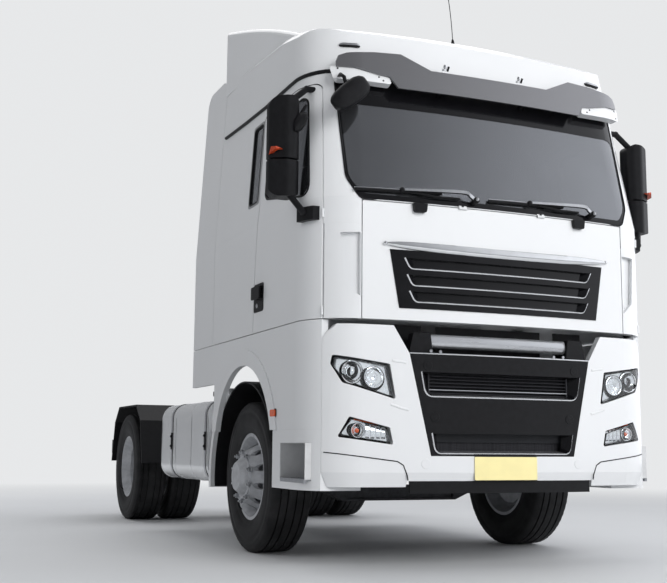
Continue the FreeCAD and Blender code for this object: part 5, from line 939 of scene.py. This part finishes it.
def makeTank():
    straps, beads, cap = Shape(), Shape(), Shape()
    out = -tankSet["out"]
    for station in tankSet["straps"]:
        straps.grid([tankLoop(grow, station + along * tankSet["strap"] / 2)
                     for grow, along in ((0.0008, -1), (0.0045, -0.94), (0.0045, 0.94), (0.0008, 1))], [1, 0, 1],
                    around=True)
        straps.box(at(out - 0.011, station - 0.014, 0.69), at(out - 0.003, station + 0.014, 0.83), 1)
        for z in (0.72, 0.80):
            hexNut(straps, at(out - 0.010, station, z), (-1, 0, 0), 0.009, 0.010, 1, stud=False)
    for station in tankSet["beads"]:
        beads.tube(tankLoop(0.0005, station), 0.0032, 0, 6, closed=True)
    spot = at(*tankSet["cap"], tankSet["top"] - 0.003)
    cap.turned([(0, 0.0), (0, 0.062), (0.016, 0.062), (0.018, 0.052), (0.026, 0.052), (0.030, 0.056), (0.052, 0.055),
                (0.058, 0.048), (0.060, 0)], spot, (0, 0, 1), 0, 40)
    cap.box(spot + Vector((-0.045, -0.009, 0.056)), spot + Vector((0.045, 0.009, 0.072)))
    straps.piece("tankStraps", "chassis", [silver, darkPlastic], "silver_bar", angle=40)
    beads.piece("tankBeads", "chassis", tankAluminium, "tank_aluminium")
    cap.piece("tankCap", "chassis", darkPlastic, "dark_plastic", bevel=0.002)


# Seats: crowned pads on a stand with bellows
seatSet = {"place": 0.620, "half": 0.265, "station": -0.560, "deep": 0.520, "base": 1.900, "backTop": 2.680,
           "lean": 0.28, "stand": [(0.07, 0.10, 0.44, 1.545, 1.70), (0.045, 0.06, 0.48, 1.70, 1.735)],
           "bellows": 1.735, "fold": 0.032}


def pad(shape, corner, across, along, up, size, bulge, cuts=8):
    # crowned form: a box with its faces swollen and its edges drawn in
    for axis in range(3):
        for end in (-1, 1):
            rows = []
            for i in range(cuts + 1):
                row = []
                for j in range(cuts + 1):
                    u, v = -1 + 2 * i / cuts, -1 + 2 * j / cuts
                    spot = [u, v]
                    spot.insert(axis, end)
                    pull = [1.0, 1.0, 1.0]
                    pull[axis] = 1 + bulge[axis] * (1 - u ** 4) * (1 - v ** 4)
                    draw = [1 - 0.045 * (spot[(n + 1) % 3] ** 4 + spot[(n + 2) % 3] ** 4) for n in range(3)]
                    a, b, c = (0.5 * (s * pull[n] * draw[n] + 1) * size[n] for n, s in enumerate(spot))
                    row.append(corner + across * a + along * b + up * c)
                rows.append(row)
            shape.grid(rows)


def makeSeats():
    x, y, z = Vector((1, 0, 0)), Vector((0, 1, 0)), Vector((0, 0, 1))
    half, base, station, deep = (seatSet[k] for k in ("half", "base", "station", "deep"))
    lean = Vector((0, seatSet["lean"] * deep, seatSet["backTop"] - base)).normalized()
    thick = -lean.cross(x)
    rise = seatSet["backTop"] - base - 0.09
    for side, sign in sides:
        pads, stand = Shape(), Shape()
        left, right = sign * seatSet["place"] - half, sign * seatSet["place"] + half
        foot = at(left + 0.02, station + deep - 0.075, base + 0.06)
        pad(pads, at(left + 0.004, station, base + 0.004), x, y, z, (half * 2 - 0.008, deep - 0.02, 0.12),
            (0.0, 0.03, 0.16))
        pad(pads, foot, x, thick, lean, (half * 2 - 0.04, -0.115, rise * 0.72), (0.0, 0.18, 0.03))
        pad(pads, foot + lean * rise * 0.735 + x * 0.11, x, thick, lean, (half * 2 - 0.26, -0.10, rise * 0.26),
            (0.05, 0.16, 0.06))
        pads.piece(f"seatPads_{side}", "cab", seatFabric, "seat_fabric", angle=60, subdivide=1)
        for inset, front, rear, low, high in seatSet["stand"]:
            stand.box(at(left + inset, station + front, low), at(right - inset, station + rear, high))
        for k in range(5):
            low, inset = seatSet["bellows"] + seatSet["fold"] * k, 0.06 if k % 2 else 0.075
            stand.box(at(left + inset, station + 0.05 + inset * 0.4, low),
                      at(right - inset, station + 0.50 - inset * 0.4, low + seatSet["fold"]))
        made = stand.piece(f"seatStand_{side}", "cab", dashPlastic, "dash_plastic", bevel=0.008)
        if side == "right":
            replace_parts(made, "seats")


# Antenna on the roof
antennaSet = {"foot": (-0.015, -0.900), "way": (-0.020, 0.055, 1), "length": 0.50, "sag": (-0.00012, 0.00045, 0)}


def makeAntenna():
    shape = Shape()
    spot, normal = touch("roof", at(*antennaSet["foot"], 6), (0, 0, -1))
    way = Vector(antennaSet["way"]).normalized()
    shape.turned([(-0.004, 0), (-0.004, 0.030), (0.006, 0.028), (0.020, 0.014), (0.044, 0.010), (0.058, 0.0062),
                  (0.060, 0)], spot, way, 0, 24)
    shape.tube([spot + way * (0.05 + antennaSet["length"] * k / 10) + Vector(antennaSet["sag"]) * k * k
                for k in range(11)], 0.0028, 0, 8)
    shape.piece("antenna", "cab", darkPlastic, "dark_plastic", angle=50)


makeWheels()
makeMirrors()
makeDoors()
makeSteps()
makeTank()
makeSeats()
makeAntenna()
print("wheels, mirrors, doors and seats dressed")

# Seams and fasteners of the bumper
seamSet = {"wide": 0.006, "lift": 0.0022, "wall": 0.004, "crease": (0.010, 0.006), "clip": 0.010,
           "corner": [(1.150, 0.691), (0.727, 0.640), (0.690, 0.618), (0.666, 0.560), (0.661, 0.530)],
           "creases": [[(0.768, 0.976), (0.70, 0.955), (0.642, 0.943)],
                       [(0.758, 1.237), (0.70, 1.231), (0.662, 1.225)]],
           "clips": [(-0.508, 1.300), (-0.445, 1.298), (0.369, 1.297), (0.442, 1.298)]}


def makeSeams():
    seams, creases, clips = Shape(), Shape(), Shape()
    below, above = seamSet["crease"]
    for sign in (1, -1):
        ribbon(seams, "front", flipped(seamSet["corner"], sign), seamSet["wide"], seamSet["lift"], seamSet["wall"])
        for line in seamSet["creases"]:
            points = [Vector(a).lerp(Vector(b), k / 4) for a, b in zip(line, line[1:]) for k in range(4)]
            rail(creases, "front", [(sign * x, z - below, z + above) for x, z in points], 0.004)
    for x, z in seamSet["clips"]:
        disc(clips, "front", x, z, seamSet["clip"], 0.004, 0.006, steps=18)
    seams.piece("bumperSeams", "chassis", darkPlastic, "dark_plastic")
    creases.piece("bumperCreases", "chassis", whitePaint, "white_paint", angle=60)
    clips.piece("bumperClips", "chassis", silver, "silver_bar")


# Front bar: wide silver bar between dark brackets, and the dark shield behind it
barSet = {"half": 0.490, "low": 1.322, "high": 1.408, "lift": -0.062, "bulge": 0.026,
          "bracket": [(0.484, 1.285), (0.642, 1.285), (0.612, 1.412), (0.500, 1.412)],
          "shields": [(-0.70, -0.486), (-0.385, 0.385), (0.486, 0.70)],  # open where the tilt arms swing through
          "shieldLow": 1.285, "shieldTop": 1.470, "shieldStation": -1.300}


def makeFrontBar():
    bar, brackets = Shape(), Shape()
    half, station = barSet["half"], barSet["shieldStation"]
    rail(bar, "front", [(between(-half, half, k / 14), barSet["low"], barSet["high"]) for k in range(15)],
         barSet["bulge"], barSet["lift"], steps=12)
    for sign in (1, -1):
        patch(brackets, "front", rounded(flipped(barSet["bracket"], sign), 0.008), barSet["lift"] + 0.040, 0.075)
    for low, high in barSet["shields"]:
        brackets.box(at(low, station, barSet["shieldLow"]), at(high, station + 0.004, barSet["shieldTop"]))
    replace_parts(bar.piece("frontBar", "chassis", barSteel, "silver_bar", angle=50), "step_bar")
    brackets.piece("frontBarBrackets", "chassis", darkPlastic, "dark_plastic", bevel=0.004)


# Front mirror: rounded head on a short arm
frontMirrorSet = {"place": (-1.026, -1.405, 2.862), "long": 0.136, "rise": 0.072, "deep": 0.052, "tilt": 40,
                  "arm": 0.012, "rings": (-1, -0.985, -0.93, -0.8, -0.55, -0.2, 0.2, 0.55, 0.8, 0.93, 0.985, 1)}


def makeFrontMirror():
    head, mark = Shape(), Shape()
    centre, tilt = at(*frontMirrorSet["place"]), math.radians(frontMirrorSet["tilt"])
    along, up, back = Vector((math.cos(tilt), 0, math.sin(tilt))), Vector((-math.sin(tilt), 0, math.cos(tilt))), \
        Vector((0, 1, 0))
    long, rise, deep = (frontMirrorSet[k] for k in ("long", "rise", "deep"))
    rows = []
    for u in frontMirrorSet["rings"]:
        share = max(0.02, (1 - abs(u) ** 3) ** (1 / 3)) * (1 + 0.10 * u)
        rows.append([centre + along * long * u
                     + back * math.copysign(abs(c) ** 0.62, c) * deep * (0.55 + 0.45 * share) * min(1, share * 1.6)
                     + up * math.copysign(abs(s) ** 0.62, s) * rise * share for c, s in circle(24)])
    head.bar(rows)
    seat, normal = touch("cab_shell", centre + Vector((-0.02, -0.2, 0.155)), (0.05, 1, 0))
    head.tube([centre + Vector((-0.01, 0.01, 0.02)), centre + Vector((-0.03, 0.02, 0.11)),
               centre + Vector((-0.024, 0.09, 0.150)), seat or centre + Vector((0, 0.2, 0.12))],
              frontMirrorSet["arm"], 0, 12)
    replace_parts(head.piece("frontMirror", "cab", darkPlastic, "dark_plastic", angle=60), "front_mirror")
    middle = centre + up * 0.020 + along * 0.045 - back * deep * 0.97
    rows = [[middle + along * 0.020 * a + up * 0.004 * b + back * depth
             for a, b in ((-1, -1), (1, -1), (1, 1), (-1, 1))] for depth in (0, 0.006)]
    mark.grid(rows, around=True)
    mark.add(rows[0], [(0, 1, 2, 3)])
    mark.piece("frontMirrorMark", "cab", clearLens, "silver_bar", bevel=0.001)


# Bunk: sewn mattress on a locker with two lids
bunkSet = {"half": 1.184, "front": -1.525, "rear": -0.965, "low": 1.540, "seat": 1.972, "top": 2.110, "pads": 4}


def makeBunk():
    base, piping, mattress = Shape(), Shape(), Shape()
    half, front, rear, low, seat, top = (bunkSet[k] for k in ("half", "front", "rear", "low", "seat", "top"))
    base.box((-half * 0.9, front + 0.06, low), (half * 0.9, rear, seat - 0.022))
    base.box((-half, front + 0.012, seat - 0.022), (half, rear, seat))
    for middle in (-half * 0.45, half * 0.45):
        base.box((middle - 0.40, front + 0.050, low + 0.10), (middle + 0.40, front + 0.061, seat - 0.10))
        base.box((middle - 0.06, front + 0.040, seat - 0.16), (middle + 0.06, front + 0.052, seat - 0.13))
    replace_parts(base.piece("bunkLocker", "cab", dashPlastic, "dash_plastic", bevel=0.006), "bunk")
    wide = (2 * half - 0.02) / bunkSet["pads"]
    for k in range(bunkSet["pads"]):
        pad(mattress, Vector((-half + 0.01 + wide * k, front + 0.006, seat + 0.003)), Vector((1, 0, 0)),
            Vector((0, 1, 0)), Vector((0, 0, 1)), (wide, rear - front - 0.012, top - seat - 0.022),
            (0.0, 0.02, 0.14))
    made = mattress.piece("bunkMattress", "cab", mattressFabric, "mattress_fabric", angle=60, subdivide=1)
    outline = panel(-half + 0.012, half - 0.012, front + 0.010, rear - 0.008, 0.03)
    for z in (seat + 0.018, top - 0.034):
        piping.tube([Vector((*p, z)) for p in outline], 0.005, 0, 8, closed=True)
    piping.piece("bunkPiping", "cab", dashPlastic, "mattress_fabric")


# Dashboard: hood with a dark screen, vents and a glove box lid
dashSet = {"driver": 0.62, "rear": -2.372, "top": 2.115, "vents": (-0.80, -0.42, 0.28, 0.92)}


def makeDash():
    shape = Shape()
    x, rear, top = (dashSet[k] for k in ("driver", "rear", "top"))
    shape.box((x - 0.24, rear - 0.20, top - 0.004), (x + 0.24, rear - 0.02, top + 0.055))
    shape.box((x - 0.20, rear - 0.022, top - 0.010), (x + 0.20, rear - 0.014, top + 0.040), 1)
    shape.box((-0.16, rear - 0.010, top - 0.19), (0.20, rear + 0.004, top - 0.03), 1)
    for across in dashSet["vents"]:
        shape.turned([(-0.004, 0), (-0.004, 0.040), (0.006, 0.042), (0.009, 0.034), (0.003, 0.030), (0.002, 0)],
                     Vector((across, rear, top - 0.075)), (0, 1, 0), 0, 24)
    shape.box((-0.86, rear - 0.004, top - 0.22), (-0.36, rear + 0.006, top - 0.13))
    shape.piece("dashTrim", "cab", [dashPlastic, glossBlack], "dash_plastic", bevel=0.004)


# Chassis: bolts along the rails, tread on the deck plate
frameSet = {"boltRows": (0.832, 0.905), "boltRun": (-0.20, 2.86), "count": 19, "bolt": 0.013, "reach": 0.40}
deckSet = {"half": 0.472, "front": -0.280, "rear": 0.742, "top": 1.055, "across": 18, "along": 20, "stud": 0.013}


def makeFrameBolts():
    shape = Shape()
    for sign in (-1, 1):
        for k in range(frameSet["count"]):
            for z in frameSet["boltRows"]:
                y = between(*frameSet["boltRun"], k / (frameSet["count"] - 1))
                spot, normal = touch("chassis_frame", (sign * 2, y, z), (-sign, 0, 0))
                if spot and abs(spot.x) > frameSet["reach"]:
                    hexNut(shape, spot, (sign, 0, 0), frameSet["bolt"], 0.010, stud=False)
    shape.piece("frameBolts", "chassis", chassisPaint, "chassis_paint", angle=40)


def makeDeckTread():
    shape = Shape()
    half, front, rear, top, stud = (deckSet[k] for k in ("half", "front", "rear", "top", "stud"))
    for i in range(deckSet["across"]):
        for j in range(deckSet["along"]):
            x = between(-half, half, i / (deckSet["across"] - 1))
            y = between(front, rear, j / (deckSet["along"] - 1))
            long, short = (stud * 0.36, stud) if (i + j) % 2 else (stud, stud * 0.36)
            shape.add([(x - long, y, top), (x, y - short, top), (x + long, y, top), (x, y + short, top),
                       (x, y, top + 0.0028)], [(0, 1, 4), (1, 2, 4), (2, 3, 4), (3, 0, 4)])
    shape.piece("deckTread", "chassis", treadMetal, "tread_plate", angle=60)


# Couplings on the stand: two air lines and two sockets with covers
standSet = {"shelf": 1.985, "air": ((-0.12, 1), (0.04, 2)), "sockets": (-0.28, 0.22)}


def makeCouplings():
    shape, out = Shape(), (0, 1, 0)
    for x, paint in standSet["air"]:
        spot, normal = touch("air_line_stand", (x, 2, standSet["shelf"]), (0, -1, 0))
        if not spot:
            continue
        head = spot + Vector((0, 0.060, -0.004))
        shape.turned([(0, 0), (0, 0.020), (0.026, 0.018), (0.030, 0.026), (0.042, 0.026), (0.044, 0.016),
                      (0.044, 0)], spot, out, paint, 24)
        shape.turned([(-0.020, 0), (-0.020, 0.030), (0.0, 0.034), (0.018, 0.030), (0.020, 0.016), (0.020, 0)], head,
                     (0, 0.35, 1), paint, 28)
        shape.box(head + Vector((-0.010, -0.004, -0.058)), head + Vector((0.010, 0.014, -0.016)), paint)
        hexNut(shape, spot + Vector((0, -0.001, 0)), out, 0.022, 0.012, 0, stud=False)
    for x in standSet["sockets"]:
        spot, normal = touch("air_line_stand", (x, 2, standSet["shelf"]), (0, -1, 0))
        if not spot:
            continue
        shape.turned([(0, 0), (0, 0.036), (0.022, 0.036), (0.024, 0.031), (0.048, 0.030), (0.050, 0.026),
                      (0.050, 0)], spot, out, 3, 28)
        shape.turned([(0.050, 0), (0.050, 0.034), (0.058, 0.034), (0.060, 0.028), (0.060, 0)], spot,
                     (0, 1, -0.06), 3, 28)
        shape.tube([spot + Vector((-0.024, 0.046, 0.034)), spot + Vector((0.024, 0.046, 0.034))], 0.006, 3, 10)
    shape.piece("lineCouplings", "chassis", [silver, couplingRed, couplingYellow, darkPlastic], "dark_plastic",
                angle=40)


# Fifth wheel: grease on the plate, release handle, bolts on the base
fifthSet = {"centre": 1.520, "top": 1.262, "grease": ((0.100, 0.150, -200, 20), (0.245, 0.285, -190, 10)),
            "handle": (0.452, 1.452), "bolts": (0.39, 0.30), "bolt": 0.014}


def makeFifthWheelTrim():
    grease, handle, bolts = Shape(), Shape(), Shape()
    centre, top = fifthSet["centre"], fifthSet["top"]
    for low, high, start, end in fifthSet["grease"]:
        turns = [math.radians(between(start, end, k / 28)) for k in range(29)]
        grease.grid([[Vector((radius * math.cos(turn), centre + radius * math.sin(turn), top + 0.0009))
                      for turn in turns] for radius in (low, high)])
    grease.piece("plateGrease", "fifth_wheel", greaseDark, "plate_steel")
    x, y = fifthSet["handle"]
    handle.tube([Vector((0.30, y, top - 0.075)), Vector((x + 0.03, y, top - 0.075)),
                 Vector((x + 0.07, y, top - 0.068))], 0.008, 0, 12)
    handle.tube([Vector((x + 0.068, y + along, top - 0.068)) for along in (-0.045, 0.045)], 0.010, 0, 12)
    handle.piece("releaseHandle", "fifth_wheel", silver, "silver_bar")
    across, along = fifthSet["bolts"]
    for x in (-across, across):
        for k in range(5):
            spot, normal = touch("fifth_wheel_base", (x, centre + between(-along, along, k / 4), 2), (0, 0, -1))
            if spot:
                hexNut(bolts, spot, (0, 0, 1), fifthSet["bolt"], 0.012)
    bolts.piece("baseBolts", "chassis", silver, "chassis_paint", angle=40)


# Tail lamps: ribbed lenses in a dark housing, and the plate lamp
tailSet = {"out": 1.180, "wide": 0.430, "low": 0.654, "top": 0.766, "rear": 3.045, "ribs": 8,
           "parts": [(0.02, 0.26, 1), (0.27, 0.50, 2), (0.51, 0.78, 1), (0.79, 0.97, 3)],
           "plateLamp": ((-0.06, 3.017, 0.780), (0.06, 3.049, 0.802))}


def makeTailLamps():
    shape = Shape()
    low, top, rear, out, wide = (tailSet[k] for k in ("low", "top", "rear", "out", "wide"))
    count = tailSet["ribs"] * 2
    for sign in (-1, 1):
        for start, end, paint in tailSet["parts"]:
            rows = []
            for k in range(count + 1):
                x, stand = sign * (out - wide * between(start, end, k / count)), 0.008 if k % 2 else 0.0065
                rows.append([Vector((x, rear + y, z)) for y, z in
                             ((-0.004, low), (stand - 0.002, low + 0.004), (stand, (low + top) / 2),
                              (stand - 0.002, top - 0.004), (-0.004, top))])
            shape.grid(rows, paint)
            shape.ends(rows, paint)
    shape.box(*tailSet["plateLamp"])
    shape.piece("tailLenses", "chassis", [darkPlastic, redLens, orangeLens, clearLens], "tail_red", angle=20)


# Side boxes: battery lid with catches, silencer shield with holes and the outlet
boxSet = {"out": 1.230, "battery": (-0.840, -0.310, 0.485, 1.062), "silencer": (-0.230, 0.600, 0.450, 1.062),
          "holes": (15, 8)}


def makeSideBoxes():
    battery, shield = Shape(), Shape()
    out = boxSet["out"]
    front, rear, low, top = boxSet["battery"]
    battery.box((out - 0.012, front + 0.02, top - 0.13), (out + 0.008, rear - 0.02, top - 0.118))
    for k in range(4):
        z = low + 0.07 + 0.075 * k
        battery.box((out - 0.004, front + 0.05, z), (out + 0.006, rear - 0.05, z + 0.022))
    for y in (front + 0.12, rear - 0.12):
        battery.box((out - 0.002, y - 0.018, top - 0.165), (out + 0.016, y + 0.018, top - 0.095), 1)
        battery.tube([Vector((out + x, y + along, top + z)) for x, along, z in
                      ((0.014, -0.014, -0.150), (0.020, -0.014, -0.165), (0.020, 0.014, -0.165),
                       (0.014, 0.014, -0.150))], 0.0035, 1, 8)
    battery.piece("batteryLid", "chassis", [darkPlastic, silver], "dark_plastic", bevel=0.003)
    front, rear, low, top = boxSet["silencer"]
    across, rows = boxSet["holes"]
    for i in range(across):
        for j in range(rows):
            y = between(front + 0.10, rear - 0.10, i / (across - 1)) + (0.012 if j % 2 else -0.012)
            z = between(low + 0.13, top - 0.13, j / (rows - 1))
            spot, normal = touch("exhaust_box", (3, y, z), (-1, 0, 0))
            if spot:
                shield.turned([(-0.001, 0), (-0.001, 0.013), (0.0018, 0.0128), (0.0019, 0.0105), (0.0004, 0.0095),
                               (0.0004, 0)], spot, (1, 0, 0), 0, 14)
    for y in (front + 0.05, rear - 0.05):
        shield.box((out - 0.004, y - 0.018, low + 0.02), (out + 0.004, y + 0.018, top - 0.02), 1)
    shield.turned([(0.03, 0.0), (0.03, 0.048), (-0.05, 0.050), (-0.052, 0.054), (-0.058, 0.054), (-0.060, 0.048),
                   (-0.060, 0.044), (-0.02, 0.043), (-0.02, 0)],
                  Vector((out - 0.14, (front + rear) / 2, low + 0.012)), (0, 0, 1), 1, 32)
    shield.piece("silencerShield", "chassis", [chassisPaint, engineMetal], "engine_metal", angle=40)


# Rear mudguards: flap bolts
guardSet = {"inner": 0.674, "pitch": 0.16, "height": 0.86, "bolt": 0.012}


def makeGuards():
    shape = Shape()
    for sign in (-1, 1):
        for k in range(4):
            x = sign * (guardSet["inner"] + guardSet["pitch"] * k)
            spot, normal = touch("rear_mudguards", (x, 4, guardSet["height"]), (0, -1, 0))
            if spot and spot.y > 2.4:
                hexNut(shape, spot, (0, 1, 0), guardSet["bolt"], 0.008, stud=False)
    shape.piece("guardBolts", "chassis", silver, "dark_plastic", angle=40)


makeSeams()
makeFrontBar()
makeFrontMirror()
makeBunk()
makeDash()
makeFrameBolts()
makeDeckTread()
makeCouplings()
makeFifthWheelTrim()
makeTailLamps()
makeSideBoxes()
makeGuards()
print("seams, cab inside, chassis and rear dressed")

# Camera at the photograph's place, and the light
cameraSet = {"place": (-3.56786, -7.16033, 0.7219), "yaw": 23.0080, "pitch": 8.2842, "roll": 0.4617,
             "focal": 1067.28, "imageWidth": 667.0, "sensor": 36.0}


def makeCamera():
    data = bpy.data.cameras.new("photoCamera")
    data.sensor_width = cameraSet["sensor"]
    data.lens = cameraSet["sensor"] * cameraSet["focal"] / cameraSet["imageWidth"]
    data.clip_start, data.clip_end = 0.1, 200
    yaw, pitch, roll = (math.radians(cameraSet[k]) for k in ("yaw", "pitch", "roll"))
    ahead = Vector((math.sin(yaw) * math.cos(pitch), math.cos(yaw) * math.cos(pitch), math.sin(pitch)))
    right = Vector((math.cos(yaw), -math.sin(yaw), 0))
    up = right.cross(ahead)
    across = right * math.cos(roll) + up * math.sin(roll)
    rise = up * math.cos(roll) - right * math.sin(roll)
    made = bpy.data.objects.new("photoCamera", data)
    turn = Matrix((across, rise, -ahead)).transposed()
    made.matrix_world = Matrix.Translation(at(*cameraSet["place"])) @ turn.to_4x4()
    bpy.context.scene.collection.objects.link(made)
    bpy.context.scene.camera = made


studio = {"backdrop": (0.80, 0.81, 0.82, 1), "sky": (0.93, 0.95, 1.0, 1), "shadeLight": 0.26, "brightLight": 1.45,
          "floorRadius": 45.0, "fadeFrom": 4.5, "fadeTo": 13.0, "aim": (0, 0.6, 1.6)}
lamps = {  # place, width, power, seen in gloss
    "keyLamp": ((1.6, -11.5, 5.6), 6.0, 740, False),
    "sideLamp": ((-8.5, -3.0, 6.5), 6.0, 170, False),
    "topLamp": ((0.5, 1.5, 9.0), 8.0, 240, True),
    "rearLamp": ((-2.5, 9.0, 6.0), 6.0, 260, False),
    "farLamp": ((9.0, -1.0, 4.5), 5.0, 60, False),
}


def makeWorld():
    world = bpy.data.worlds.new("studio")
    bpy.context.scene.world = world
    world.use_nodes = True
    tree = world.node_tree
    plain = tree.nodes["Background"]
    way = addNode(tree, "SeparateXYZ", {"Vector": addNode(tree, "TexCoord", output="Generated")}, "X")
    light = {"Value": way, "From Min": 0.15, "From Max": 0.9, "To Min": studio["shadeLight"],
             "To Max": studio["brightLight"]}
    level = addNode(tree, "MapRange", light, interpolation_type="SMOOTHSTEP")  # brighter towards +X
    setInputs(tree, plain, {"Color": studio["sky"], "Strength": level})
    seen = addNode(tree, "Background", {"Color": studio["backdrop"], "Strength": 1.0})
    path = addNode(tree, "LightPath").node.outputs
    anyRay = addNode(tree, "Math", {0: path["Is Camera Ray"], 1: path["Is Transmission Ray"]}, operation="MAXIMUM")
    mixed = addNode(tree, "MixShader", {"Fac": anyRay, 1: plain.outputs["Background"], 2: seen})
    tree.links.new(mixed, tree.nodes["World Output"].inputs["Surface"])


def makeFloor():  # pale floor that fades to the backdrop
    floor = Shape()
    floor.turned([(0, 0), (0, 3), (0, 8), (0, studio["floorRadius"])], Vector((0, 0, -0.0005)), (0, 0, 1), steps=96)
    mesh = bpy.data.meshes.new("floor")
    mesh.from_pydata([tuple(p) for p in floor.points], [], floor.faces)
    made = bpy.data.objects.new("floor", mesh)
    bpy.context.scene.collection.objects.link(made)
    pale = finish("floorPale", (0.62, 0.63, 0.64), 0.65, spread=0.02, scale=0.8, grain=0.05, grainScale=60)
    mesh.materials.append(pale)
    tree = pale.node_tree
    glow = addNode(tree, "Emission", {"Color": studio["backdrop"]})
    away = addNode(tree, "VectorMath", {0: addNode(tree, "TexCoord", output="Object")}, "Value", operation="LENGTH")
    fade = addNode(tree, "MapRange", {"Value": away, "From Min": studio["fadeFrom"], "From Max": studio["fadeTo"]},
                   interpolation_type="SMOOTHSTEP")
    seen = addNode(tree, "LightPath", output="Is Camera Ray")
    both = addNode(tree, "Math", {0: fade, 1: seen}, operation="MULTIPLY")
    shaded = tree.nodes["Principled BSDF"].outputs["BSDF"]
    mixed = addNode(tree, "MixShader", {"Fac": both, 1: shaded, 2: glow})
    tree.links.new(mixed, tree.nodes["Material Output"].inputs["Surface"])


def makeLamplight():
    aim = at(*studio["aim"])
    for name, (place, span, power, inGloss) in lamps.items():
        data = bpy.data.lights.new(name, "AREA")
        data.shape, data.size, data.energy = "SQUARE", span, power
        made = bpy.data.objects.new(name, data)
        made.location, made.visible_glossy, made.rotation_mode = Vector(place), inGloss, "QUATERNION"
        made.rotation_quaternion = (aim - made.location).to_track_quat("-Z", "Y")
        bpy.context.scene.collection.objects.link(made)


makeCamera()
makeWorld()
makeFloor()
makeLamplight()
bpy.context.scene.view_settings.view_transform = "Standard"
print("camera and studio placed")
